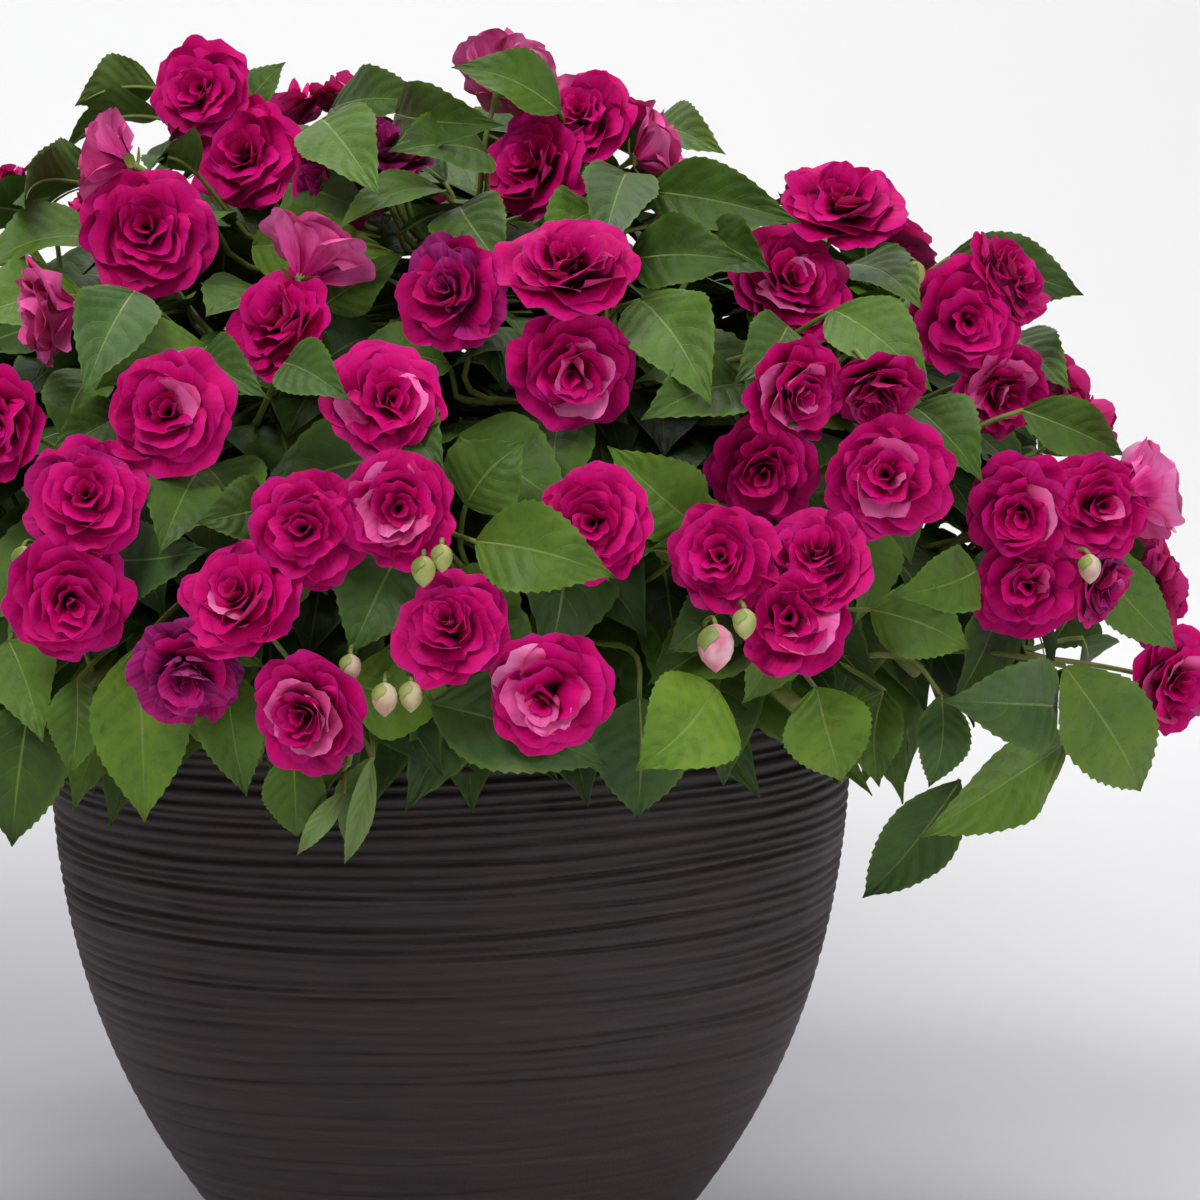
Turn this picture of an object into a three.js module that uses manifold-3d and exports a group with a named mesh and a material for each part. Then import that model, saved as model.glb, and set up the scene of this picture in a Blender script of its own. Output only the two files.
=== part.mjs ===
// A double-flowered busy lizzie (Impatiens walleriana) in a round ridged pot.
// Millimetres, +Z up. The origin is the centre of the pot's underside, and the front looks towards -Y.
// The plant is a broad mound of rosettes and leaves that hangs over the rim on all sides.

import * as THREE from 'three';
import { mergeVertices } from 'three/addons/utils/BufferGeometryUtils.js';
import Module from 'manifold-3d';

const wasm = await Module();
wasm.setup();
const { Vector3 } = THREE;

// ---------------------------------------------------------------- driving dimensions

const POT_HEIGHT = 250;
const RIM_RADIUS = 152.5;
const POT_DRAW_IN = 77; // how much narrower the underside is than the rim
const POT_WALL = 7;
const POT_FLOOR = 10;
const POT_SIDES = 22;
const RIM_BAND = 12; // smooth band above the ridges
const RIDGES = 8;
const RIDGE_DEPTH = 1.1;
const RIDGE_SLOPE = 0.03; // the ridges dip towards +X

const SOIL_TOP = 232;
const SOIL_GAP = 0.35;
const HOLE_DEPTH = 26;
const STEM_HOLE_RADIUS = 7.4; // to the corners of a square hole

// The mound that the centres of the blooms lie on: half an ellipsoid above its heart, half below.
const MOUND = { wide: 275, deep: 250, heart: 255, up: 190, down: 130 };

// Where the front lists are seen from. A place in those lists is where a sight line from here
// crosses the upright plane through the pot's axis: [mm to the right, mm above the ground].
const EYE = new Vector3(57, -2389, 545);

const CLEARANCE = 0.4; // kept between pieces that don't touch
const STALK_GAP = 0.35; // between a flower stalk and its bloom
const STALK_RADIUS = 1.3;
const ROOT_RADIUS = 0.9; // of a stalk where it is sunk into its shoot

// ---------------------------------------------------------------- the plant's front, as it looks

// Bunches of blooms that press against each other. Each bloom: across, height, diameter, facing to the
// right and up in degrees, and how far it stands proud of the rest of its bunch.
const FRONT_BUNCHES = [
  [[-93, 445, 39, -15, 15, -3], [-76, 420, 44, -15, 20, 3]],
  [[-126, 418, 36, -110, 10, -6], [-113, 391, 50, 0, 15, 4]],
  [[-52, 381, 42, 140, 50, -6], [-63, 356, 42, -35, 25, 2]],
  [[-150, 362, 42, -75, -10, -4]],
  [[-106, 323, 44, -5, 15, 2]],
  [[-24, 328, 43, 5, 25, 2]],
  [[-172, 318, 40, -30, 5, 0]],
  [[-24, 423, 38, 20, 60, -10], [-42, 409, 36, -20, -30, -10]],
  [
    [21, 449, 40, 160, 35, -4],
    [57, 431, 42, -15, 35, 0],
    [33, 417, 43, -30, 20, 6],
    [88, 416, 37, 90, 20, -4],
  ],
  [[45, 378, 48, 5, 50, 2], [47, 340, 44, 5, -10, 0]],
  [[1, 369, 42, -25, 10, 2]],
  [[129, 372, 46, 20, 30, 4], [149, 403, 45, 5, 50, -2]],
  [[195, 359, 44, 10, 5, 4], [208, 331, 37, 20, -15, 0], [211, 374, 40, 60, 30, -8]],
  [
    [131, 331, 40, 35, -10, 2],
    [163, 331, 36, 10, -45, -4],
    [167, 294, 45, 5, 5, 2],
    [119, 302, 40, -5, -15, -2],
  ],
  [
    [217, 286, 42, -10, -5, 4],
    [245, 288, 41, 5, 15, 2],
    [261, 293, 40, 115, 10, -4],
    [219, 257, 41, 0, -10, 2],
    [249, 257, 32, 60, -20, -4],
  ],
  [[-138, 290, 45, -5, 15, 0], [-146, 249, 46, 5, 0, 3]],
  [
    [-80, 252, 45, -20, 30, 2],
    [-52, 280, 42, 0, 0, 2],
    [-16, 288, 41, -5, 10, 4],
    [-105, 220, 40, 0, -20, -4],
  ],
  [[-54, 208, 44, -25, -10, 4]],
  [[1, 241, 41, -5, 20, 2]],
  [[55, 282, 41, -10, 10, -2]],
  [[38, 216, 43, 0, -5, 4]],
  [[103, 268, 39, -5, 15, 0], [140, 237, 45, -5, 10, 4], [139, 267, 40, -5, 35, -2]],
  [[275, 220, 42, 35, -5, 0]],
];

// Bunches where the front lists don't reach, on the back and the left side:
// compass angle in degrees anticlockwise from +X, height, and the number of blooms.
const OTHER_BUNCHES = [
  [10, 250, 2],
  [34, 240, 2],
  [62, 258, 2],
  [90, 242, 2],
  [118, 258, 1],
  [146, 240, 2],
  [172, 258, 2],
  [200, 240, 2],
  [22, 318, 2],
  [52, 326, 1],
  [82, 318, 2],
  [112, 328, 2],
  [142, 320, 2],
  [172, 330, 1],
  [198, 326, 2],
  [36, 390, 2],
  [84, 386, 2],
  [134, 390, 2],
  [172, 400, 1],
  [60, 432, 2],
  [126, 434, 2],
];

// Leaves: the blade's foot (across, height), its tip (across, height), width, roll about the midrib in
// degrees, and how far foot and tip stand proud of the mound.
const FRONT_LEAVES = [
  [-110, 446, -141, 440, 26, 55, -6, 8],
  [-108, 435, -147, 424, 28, 30, -4, 6],
  [-134, 416, -160, 407, 24, 60, -6, 6],
  [-138, 410, -163, 402, 24, 50, -8, 4],
  [-150, 396, -182, 400, 28, 30, -6, 6],
  [-127, 388, -178, 380, 32, 10, -10, 6],
  [-138, 368, -184, 358, 34, 0, -10, 6],
  [-119, 369, -138, 332, 30, 0, 6, 16],
  [-92, 348, -134, 332, 28, 15, -10, 2],
  [-80, 432, -62, 456, 22, 20, -14, -4],
  [-44, 438, -6, 440, 24, 25, -8, 4],
  [-48, 434, -26, 405, 30, 0, 0, 12],
  [15, 421, -22, 423, 33, 5, -4, 6],
  [-2, 407, -42, 396, 22, 25, -4, 4],
  [-74, 386, -22, 384, 28, 35, -8, 8],
  [-47, 364, -18, 384, 24, 45, -10, 2],
  [-62, 342, -38, 328, 22, 0, -10, 0],
  [-93, 346, -70, 330, 22, 0, -14, -4],
  [42, 437, 2, 455, 24, 15, 2, 12],
  [4, 401, 22, 376, 28, 0, -8, 4],
  [67, 414, 57, 383, 28, 0, -4, 8],
  [77, 431, 103, 422, 22, 25, -8, 2],
  [75, 407, 133, 395, 27, 25, -4, 8],
  [68, 381, 112, 381, 28, 15, -8, 6],
  [72, 366, 98, 329, 34, 0, -6, 6],
  [128, 356, 109, 336, 24, 0, -10, 0],
  [112, 334, 73, 321, 30, 20, -8, 6],
  [189, 382, 240, 368, 28, 10, -2, 14],
  [150, 379, 178, 365, 26, 0, -14, -2],
  [145, 362, 182, 334, 30, 0, 0, 14],
  [213, 352, 235, 332, 24, 60, -4, 8],
  [217, 324, 256, 307, 22, 20, -8, 4],
  [176, 325, 202, 300, 30, 0, -16, -6],
  [-122, 323, -152, 307, 20, 10, -12, 0],
  [-129, 267, -94, 261, 28, 0, -14, -4],
  [-68, 287, -96, 281, 24, 0, -14, -2],
  [-20, 269, -38, 231, 34, 0, -2, 8],
  [-119, 233, -117, 166, 35, 0, 2, 12],
  [-142, 221, -145, 184, 20, 0, -14, -4],
  [-85, 225, -78, 176, 24, 0, -8, 4],
  [-102, 240, -71, 226, 24, 0, -8, 0],
  [-60, 194, -59, 160, 22, 0, -6, 2],
  [-39, 189, -55, 160, 20, 45, -6, 4],
  [-30, 191, -40, 155, 20, 45, -6, 4],
  [10, 274, 62, 261, 32, 0, 2, 16],
  [94, 280, 61, 310, 30, 0, -6, 6],
  [101, 218, 72, 187, 38, 0, 2, 12],
  [109, 252, 82, 231, 26, 0, -6, 6],
  [-7, 212, 60, 188, 34, -20, -8, 4],
  [72, 214, 71, 168, 36, 0, -12, -2],
  [86, 270, 62, 261, 20, 50, -10, 4],
  [200, 263, 168, 253, 24, 0, -10, 2],
  [160, 248, 198, 233, 28, 0, -6, 6],
  [139, 218, 150, 181, 32, 0, 0, 10],
  [165, 217, 162, 180, 24, 60, -10, 2],
  [187, 215, 183, 179, 20, 0, -14, -4],
  [231, 211, 188, 213, 34, 10, -8, 2],
  [194, 182, 157, 136, 27, 25, -8, 6],
  [235, 197, 180, 160, 34, 0, -4, 8],
  [234, 226, 266, 175, 36, 0, -2, 10],
  [239, 275, 277, 232, 24, 55, -2, 12],
  [-160, 214, -168, 156, 34, 0, -6, 6],
  [-168, 236, -156, 198, 26, 0, -16, -6],
];

// Pale buds that hang on stalks of their own: across, height, length, and how far they stand proud.
const FRONT_BUDS = [
  [-162, 267, 11, 4],
  [-10, 263, 11, 12],
  [-3, 268, 10, 10],
  [-25, 214, 12, 8],
  [-15, 215, 11, 6],
  [-38, 226, 10, 0],
  [112, 243, 11, 6],
  [176, 376, 10, 2],
  [243, 264, 11, 6],
  [101, 234, 17, 6],
];

// ---------------------------------------------------------------- small tools

const UP = new Vector3(0, 0, 1);
const EAST = new Vector3(1, 0, 0);
const radians = (angle) => (angle * Math.PI) / 180;
const degrees = (angle) => (angle * 180) / Math.PI;
const mix = (a, b, share) => a + (b - a) * share;

// A repeatable stream of numbers from 0 to 1.
function randomStream(seed) {
  let state = seed >>> 0;
  return () => {
    state = (state + 0x6d2b79f5) >>> 0;
    let t = state;
    t = Math.imul(t ^ (t >>> 15), t | 1);
    t ^= t + Math.imul(t ^ (t >>> 7), t | 61);
    return ((t ^ (t >>> 14)) >>> 0) / 4294967296;
  };
}

function moundLevel(point, lift) {
  const rise = point.z - MOUND.heart;
  const reach = (rise > 0 ? MOUND.up : MOUND.down) + lift;
  return Math.hypot(point.x / (MOUND.wide + lift), point.y / (MOUND.deep + lift), rise / reach);
}

function moundNormal(point) {
  const rise = point.z - MOUND.heart;
  const reach = rise > 0 ? MOUND.up : MOUND.down;
  return new Vector3(point.x / MOUND.wide ** 2, point.y / MOUND.deep ** 2, rise / reach ** 2).normalize();
}

// The place on the mound at a compass angle and a height.
function moundAt(angle, height, lift) {
  const rise = height - MOUND.heart;
  const reach = (rise > 0 ? MOUND.up : MOUND.down) + lift;
  const share = Math.sqrt(Math.max(0, 1 - (rise / reach) ** 2));
  const turn = radians(angle);
  const x = (MOUND.wide + lift) * share * Math.cos(turn);
  const y = (MOUND.deep + lift) * share * Math.sin(turn);
  return new Vector3(x, y, height);
}

// The point of a sight line through (across, height) that lies at the given depth.
function sightLine(across, height, y) {
  return EYE.clone().lerp(new Vector3(across, 0, height), 1 - y / EYE.y);
}

// The place on the mound that a sight line through (across, height) meets first. A line that passes
// just over the mound gives the place where it comes closest.
function moundSeenAt(across, height, lift) {
  const along = (y) => sightLine(across, height, y);
  const levelAt = (y) => moundLevel(along(y), lift);
  const step = 5;
  const first = -(MOUND.deep + 60);
  let closest = first;
  for (let y = first; y < 120; y += step) {
    if (levelAt(y) < 1) {
      let outside = y - step;
      let inside = y;
      for (let i = 0; i < 30; i++) {
        const middle = (outside + inside) / 2;
        if (levelAt(middle) < 1) inside = middle;
        else outside = middle;
      }
      return along(inside);
    }
    if (levelAt(y) < levelAt(closest)) closest = y;
  }
  return along(closest);
}

// A direction that faces the front, turned to the right and then up.
function facing(right, up) {
  const a = radians(right);
  const b = radians(up);
  return new Vector3(Math.sin(a) * Math.cos(b), -Math.cos(a) * Math.cos(b), Math.sin(b));
}

// ---------------------------------------------------------------- solids

// A body is a list of points and a list of triangles; it becomes a solid with its faces outwards.
function solidOf(body) {
  const vertProperties = new Float32Array(body.points.flatMap((p) => [p.x, p.y, p.z]));
  let triVerts = new Uint32Array(body.faces.flat());
  let solid = new wasm.Manifold(new wasm.Mesh({ numProp: 3, vertProperties, triVerts }));
  if (solid.volume() < 0) {
    triVerts = new Uint32Array(body.faces.flatMap(([a, b, c]) => [a, c, b]));
    solid = new wasm.Manifold(new wasm.Mesh({ numProp: 3, vertProperties, triVerts }));
  }
  return solid;
}

function solidOfGeometry(geometry) {
  const bare = geometry.clone();
  bare.deleteAttribute('normal');
  bare.deleteAttribute('uv');
  const merged = mergeVertices(bare, 1e-3);
  const position = merged.attributes.position.array;
  const triVerts = new Uint32Array(merged.index.array);
  return new wasm.Manifold(new wasm.Mesh({ numProp: 3, vertProperties: position, triVerts }));
}

function geometryOf(solid) {
  const mesh = solid.getMesh();
  const geometry = new THREE.BufferGeometry();
  geometry.setAttribute('position', new THREE.BufferAttribute(mesh.vertProperties, 3));
  geometry.setIndex(new THREE.BufferAttribute(mesh.triVerts, 1));
  geometry.computeVertexNormals();
  return geometry;
}

// A tapering stalk through the given points, closed at both ends.
function tube(points, radii, sides) {
  const body = { points: [], faces: [] };
  let side = null;
  points.forEach((point, i) => {
    const before = points[Math.max(i - 1, 0)];
    const after = points[Math.min(i + 1, points.length - 1)];
    const along = after.clone().sub(before).normalize();
    if (side === null) side = (Math.abs(along.z) < 0.9 ? UP : EAST).clone();
    side.addScaledVector(along, -side.dot(along)).normalize();
    const other = along.clone().cross(side);
    for (let k = 0; k < sides; k++) {
      const turn = (2 * Math.PI * k) / sides;
      const out = side.clone().multiplyScalar(Math.cos(turn)).addScaledVector(other, Math.sin(turn));
      body.points.push(point.clone().addScaledVector(out, radii[i]));
    }
  });
  for (let i = 0; i + 1 < points.length; i++) {
    for (let k = 0; k < sides; k++) {
      const a = i * sides + k;
      const b = i * sides + ((k + 1) % sides);
      body.faces.push([a, b, a + sides], [b, b + sides, a + sides]);
    }
  }
  const last = (points.length - 1) * sides;
  for (let k = 1; k + 1 < sides; k++) {
    body.faces.push([0, k + 1, k], [last, last + k, last + k + 1]);
  }
  return body;
}

// ---------------------------------------------------------------- pot and soil

const potRadius = (z) => RIM_RADIUS - POT_DRAW_IN * ((POT_HEIGHT - z) / POT_HEIGHT) ** 3;

const INNER_HEIGHTS = [POT_FLOOR, 70, 160, POT_HEIGHT];

function potSolid() {
  const ridgeTop = POT_HEIGHT - RIM_BAND;
  const pitch = ridgeTop / RIDGES;
  const profile = [new THREE.Vector2(0, 0), new THREE.Vector2(potRadius(0) - 2, 0)];
  for (let i = 0; i < RIDGES; i++) {
    const groove = i * pitch + 0.2 * pitch;
    const crest = i * pitch + 0.75 * pitch;
    if (i > 0) profile.push(new THREE.Vector2(potRadius(groove) - RIDGE_DEPTH, groove));
    profile.push(new THREE.Vector2(potRadius(crest) + RIDGE_DEPTH, crest));
  }
  profile.push(new THREE.Vector2(potRadius(ridgeTop) - RIDGE_DEPTH, ridgeTop + 1.5));
  profile.push(new THREE.Vector2(RIM_RADIUS + RIDGE_DEPTH, ridgeTop + 3.5));
  profile.push(new THREE.Vector2(RIM_RADIUS + RIDGE_DEPTH, POT_HEIGHT - 2));
  profile.push(new THREE.Vector2(RIM_RADIUS - 1, POT_HEIGHT));
  for (const z of [...INNER_HEIGHTS].reverse()) {
    profile.push(new THREE.Vector2(potRadius(z) - POT_WALL, z));
  }
  profile.push(new THREE.Vector2(0, POT_FLOOR));
  const geometry = new THREE.LatheGeometry(profile, POT_SIDES);
  geometry.rotateX(Math.PI / 2);
  waveRidges(geometry, ridgeTop);
  return solidOfGeometry(geometry);
}

// The ridges dip to one side and wander a little up and down.
function waveRidges(geometry, ridgeTop) {
  const position = geometry.attributes.position;
  for (let i = 0; i < position.count; i++) {
    const x = position.getX(i);
    const y = position.getY(i);
    const z = position.getZ(i);
    const outside = Math.hypot(x, y) > potRadius(z) - POT_WALL / 2;
    if (!outside || z < 1 || z > ridgeTop) continue;
    const fade = Math.min(1, z / 30, (ridgeTop - z) / 25);
    const wander = 1.6 * Math.sin(3 * Math.atan2(y, x) + z * 0.09);
    position.setZ(i, z + fade * (wander - RIDGE_SLOPE * x));
  }
}

function soilSolid(stems) {
  const profile = [new THREE.Vector2(0, POT_FLOOR + SOIL_GAP)];
  for (const z of [...INNER_HEIGHTS.slice(0, -1), SOIL_TOP]) {
    const level = Math.max(z, POT_FLOOR + SOIL_GAP);
    profile.push(new THREE.Vector2(innerRadius(level) - SOIL_GAP, level));
  }
  profile.push(new THREE.Vector2(0, SOIL_TOP));
  const geometry = new THREE.LatheGeometry(profile, POT_SIDES);
  geometry.rotateX(Math.PI / 2);
  let soil = solidOfGeometry(geometry);
  for (const stem of stems) {
    const top = new Vector3(stem.foot.x, stem.foot.y, SOIL_TOP + 5);
    const hole = solidOf(tube([stem.foot, top], [STEM_HOLE_RADIUS, STEM_HOLE_RADIUS], 4));
    soil = soil.subtract(hole);
  }
  return soil;
}

// The pot's inside is straight between its rings, and the soil follows it.
function innerRadius(z) {
  const upper = Math.max(1, INNER_HEIGHTS.findIndex((height) => height >= z));
  const low = INNER_HEIGHTS[upper - 1];
  const high = INNER_HEIGHTS[upper];
  const share = (z - low) / (high - low);
  return mix(potRadius(low), potRadius(high), share) - POT_WALL;
}

// ---------------------------------------------------------------- blooms

const PETALS = 5;
const BLOOM_BACK = 0.42; // depth behind the centre, as a share of the radius

// One rosette as a single closed body: broad outer petals, a second layer raised over them, and in its
// middle a ring of inner petals round a bud or, on an open bloom, a plain cup.
function bloomBody(bloom, pad) {
  const radius = bloom.diameter / 2 + pad;
  const draw = randomStream(bloom.seed);
  const axes = axesOf(bloom.facing);
  const points = [];
  const put = (degrees, out, rise) => {
    const turn = radians(degrees + bloom.spin);
    const p = bloom.centre.clone();
    p.addScaledVector(axes.right, radius * out * Math.cos(turn));
    p.addScaledVector(axes.up, radius * out * Math.sin(turn));
    p.addScaledVector(bloom.facing, radius * rise);
    points.push(p);
    return points.length - 1;
  };
  const faces = [];
  const step = 360 / PETALS;
  const back = put(0, 0, -BLOOM_BACK);
  const outer = [];
  const valley = [];
  const middle = [];
  const inner = [];
  for (let i = 0; i < PETALS; i++) {
    const at = i * step;
    const reach = 0.94 + 0.12 * draw();
    outer.push(put(at - 24, reach, -0.14), put(at + 22, reach, 0.04), put(at + 36, 0.8, -0.02));
    valley.push(put(at, 0.62, 0.06));
    const lean = 0.7 + 0.1 * draw();
    middle.push(put(at + 15, lean, 0.3), put(at + 57, lean, 0.38));
    if (!bloom.open) inner.push(put(at + 36, 0.3, 0.16 + 0.1 * draw()));
  }
  const heart = put(0, 0.05, bloom.open ? 0.1 : 0.42);
  for (let i = 0; i < PETALS; i++) {
    const next = (i + 1) % PETALS;
    const [left, right, notch] = outer.slice(3 * i, 3 * i + 3);
    const nextLeft = outer[3 * next];
    faces.push([back, right, left], [back, notch, right], [back, nextLeft, notch]);
    faces.push([left, right, valley[i]], [right, notch, valley[i]]);
    faces.push([notch, valley[next], valley[i]], [notch, nextLeft, valley[next]]);
    const [one, two] = middle.slice(2 * i, 2 * i + 2);
    const nextOne = middle[2 * next];
    faces.push([valley[i], valley[next], one], [valley[next], two, one], [valley[next], nextOne, two]);
    if (bloom.open) {
      faces.push([one, two, heart], [two, nextOne, heart]);
      continue;
    }
    faces.push([one, two, inner[i]], [two, nextOne, inner[i]], [nextOne, inner[next], inner[i]]);
    faces.push([inner[i], inner[next], heart]);
  }
  return { points, faces };
}

// Right and up as seen by someone who looks at the given face.
function axesOf(face) {
  const helper = Math.abs(face.z) < 0.95 ? UP : EAST;
  const right = helper.clone().cross(face).normalize();
  const up = face.clone().cross(right);
  return { right, up };
}

function bloomBack(bloom) {
  return bloom.centre.clone().addScaledVector(bloom.facing, (-BLOOM_BACK * bloom.diameter) / 2);
}

const PRESSED = 0.76; // how close pressed blooms sit, as a share of their two radii

// Moves a bloom towards the nearest of its bunch until the two press into each other.
function pressTogether(bunch) {
  bunch.forEach((bloom, i) => {
    if (i === 0) return;
    const gap = (other) => other.centre.distanceTo(bloom.centre) / (other.diameter + bloom.diameter);
    const mates = bunch.slice(0, i).sort((one, two) => gap(one) - gap(two));
    const share = Math.min(1, (0.5 * PRESSED) / gap(mates[0]));
    bloom.centre = mates[0].centre.clone().lerp(bloom.centre, share);
  });
}

function allBlooms() {
  const bunches = [];
  for (const rows of FRONT_BUNCHES) {
    const depths = rows.map(([across, height]) => moundSeenAt(across, height, 0).y);
    const depth = depths.reduce((sum, y) => sum + y, 0) / depths.length;
    const bunch = rows.map(([across, height, diameter, right, up, proud]) => {
      return { centre: sightLine(across, height, depth - proud), diameter, facing: facing(right, up) };
    });
    bunches.push(bunch);
  }
  const draw = randomStream(7);
  for (const [angle, height, count] of OTHER_BUNCHES) {
    const middle = moundAt(angle, height, 0);
    const normal = moundNormal(middle);
    const { right, up } = axesOf(normal);
    const start = 360 * draw();
    const bunch = [];
    for (let i = 0; i < count; i++) {
      const diameter = 40 + 6 * draw();
      const turn = radians(start + (360 * i) / count + 20 * draw());
      const spread = count === 1 ? 0 : 20;
      const centre = middle.clone();
      centre.addScaledVector(right, spread * Math.cos(turn));
      centre.addScaledVector(up, spread * Math.sin(turn));
      centre.addScaledVector(normal, 4 * draw() - 2);
      const face = normal.clone().addScaledVector(right, 0.35 * Math.cos(turn));
      face.addScaledVector(up, 0.35 * Math.sin(turn)).addScaledVector(UP, 0.15);
      bunch.push({ centre, diameter, facing: face.normalize(), open: true });
    }
    bunches.push(bunch);
  }
  bunches.forEach(pressTogether);
  return bunches.flat().map((bloom, i) => ({ ...bloom, seed: 100 + i, spin: (i * 47) % 72 }));
}

// ---------------------------------------------------------------- stems

const OUTER_STEMS = 8;
const SIDE_SHOOTS = [
  // leaves the stem at this point of its axis, turns aside by degrees, and ends at radius and height
  [2, -14, 214, 240],
  [2, 13, 218, 234],
];
const STEM_AXIS = [
  [76, SOIL_TOP - HOLE_DEPTH],
  [76, 240],
  [100, 276],
  [134, 308],
  [158, 342],
];
const CROWN_AXIS = [
  [26, SOIL_TOP - HOLE_DEPTH],
  [26, 240],
  [34, 300],
  [44, 350],
  [62, 392],
];
// Deep in the mound the foliage is one dense mass round each stem, and the outer leaves and the blooms
// stand out of it. Each row is its height, its inner radius and its outer radius.
const OUTER_CORE = [
  [253, 84, 152],
  [262, 82, 192],
  [285, 84, 212],
  [312, 86, 204],
  [338, 93, 184],
  [360, 104, 152],
  [376, 120, 132],
];
const CROWN_CORE = [
  [300, 0, 66],
  [330, 0, 76],
  [356, 0, 88],
  [376, 0, 100],
  [394, 0, 92],
  [408, 0, 56],
];
const CORE_GAP = 0.3; // from the core's side walls to the plane between two stems
const CORE_COLUMNS = 4;
const CORE_LUMP = 0.08; // every second point stands out by this share and hangs down
const CORE_DROOP = 7;
const CORE_SINK = 0.975; // a stalk that grows from the core starts at this share of its radius

// The core's body, and the places on it where stalks can grow.
function makeCore(compass, halfTurn, rows, seed) {
  const draw = randomStream(seed);
  const body = { points: [], faces: [] };
  const put = (angle, radius, z) => body.points.push(placeRound(angle, radius, z)) - 1;
  const reach = (radius) => halfTurn - degrees(Math.asin(CORE_GAP / radius));
  const grid = rows.map(([z, inner, outer], j) => {
    const row = [];
    for (let k = 0; k <= CORE_COLUMNS; k++) {
      const high = (j + k) % 2 === 0;
      const radius = outer * (1 + (high ? CORE_LUMP : -CORE_LUMP) * (0.5 + draw()));
      const angle = compass + reach(radius) * ((2 * k) / CORE_COLUMNS - 1);
      row.push(put(angle, radius, z + 4 * draw() - (high && j > 0 ? CORE_DROOP : 0)));
    }
    if (inner === 0) row.push(put(compass, CORE_GAP, z));
    else row.push(put(compass + reach(inner), inner, z), put(compass - reach(inner), inner, z));
    return row;
  });
  const around = grid[0].length;
  const places = [];
  for (let j = 0; j + 1 < grid.length; j++) {
    for (let k = 0; k < around; k++) {
      const next = (k + 1) % around;
      const [a, b, c, d] = [grid[j][k], grid[j][next], grid[j + 1][k], grid[j + 1][next]];
      const facets = (j + k) % 2 === 0 ? [[a, b, c], [b, d, c]] : [[a, b, d], [a, d, c]];
      body.faces.push(...facets);
      if (k >= CORE_COLUMNS) continue;
      for (const facet of facets) places.push(...placesOn(facet.map((i) => body.points[i]), j));
    }
  }
  const [low, high] = [grid[0], grid[grid.length - 1]];
  for (let k = 0; k + 2 < around; k++) {
    body.faces.push([low[around - 1], low[k + 1], low[k]], [high[around - 1], high[k], high[k + 1]]);
  }
  return { body, places };
}

// Three places just under one facet of the core, each near a corner.
function placesOn(corners, row) {
  const middle = new Vector3();
  for (const corner of corners) middle.addScaledVector(corner, 1 / 3);
  return corners.map((corner) => {
    const at = middle.clone().lerp(corner, 0.4);
    at.multiply(new Vector3(CORE_SINK, CORE_SINK, 1));
    return { at, row };
  });
}

// A place at a compass angle and radius; round the stems the mound is a little less deep than wide.
function placeRound(angle, radius, z) {
  const turn = radians(angle);
  return new Vector3(radius * Math.cos(turn), (radius * Math.sin(turn) * MOUND.deep) / MOUND.wide, z);
}

// A stem is a list of shoots; each shoot is a smooth run of points with radii.
function makeStem(compass, axis, shoots) {
  const spine = axis.map(([radius, z]) => placeRound(compass, radius, z));
  const runs = [{ points: spine, radii: [4.6, 4.8, 4.4, 3.8, 2.6], sides: 5 }];
  for (const [from, aside, radius, z] of shoots) {
    const start = spine[from];
    const end = placeRound(compass + aside, radius, z);
    const middle = start.clone().lerp(end, 0.5);
    middle.z += 0.1 * start.distanceTo(end);
    runs.push({ points: [start, middle, end], radii: [3.6, 3.4, 3], sides: 3 });
  }
  return { foot: spine[0], runs };
}

function allStems() {
  const stems = [];
  for (let i = 0; i < OUTER_STEMS; i++) {
    const compass = (360 * (i + 0.5)) / OUTER_STEMS;
    const core = makeCore(compass, 180 / OUTER_STEMS, OUTER_CORE, 40 + i);
    stems.push({ ...makeStem(compass, STEM_AXIS, SIDE_SHOOTS), core });
  }
  for (const compass of [270, 90]) {
    const core = makeCore(compass, 90, CROWN_CORE, 50 + compass);
    stems.push({ ...makeStem(compass, CROWN_AXIS, []), core });
  }
  return stems;
}

const PLACE_SPACING = 7;
const LONGEST_STALK = 105;

// The places on the shoots and cores where a stalk can grow. Each is used once.
function growingPlaces(stems) {
  const places = [];
  stems.forEach((stem, owner) => {
    for (const { at, row } of stem.core.places) {
      places.push({ at, owner, row, shoot: `core ${row}`, taken: false });
    }
    stem.runs.forEach((run, shoot) => {
      for (let i = 0; i + 1 < run.points.length; i++) {
        const [start, end] = [run.points[i], run.points[i + 1]];
        const count = Math.floor(start.distanceTo(end) / PLACE_SPACING);
        for (let k = 0; k < count; k++) {
          const at = start.clone().lerp(end, (k + 0.7) / count);
          if (shoot > 0) places.push({ at, owner, shoot, taken: false });
        }
      }
    });
  });
  return places;
}

// The best free growing place on each of the nearest shoots, nearest first.
function rootsFor(target, places, most) {
  const best = new Map();
  for (const place of places) {
    if (place.taken || place.at.distanceTo(target) > LONGEST_STALK) continue;
    const cost = place.at.distanceTo(target) + 0.5 * Math.max(0, place.at.z - target.z + 8);
    const key = `${place.owner}/${place.shoot}`;
    if (!best.has(key) || cost < best.get(key).cost) best.set(key, { place, cost });
  }
  const ranked = [...best.values()].sort((a, b) => a.cost - b.cost);
  return ranked.slice(0, most).map((entry) => entry.place);
}

// ---------------------------------------------------------------- flower stalks and buds

const STALK_BENDS = [0, 0.35, 0.6, 0.85];

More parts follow.
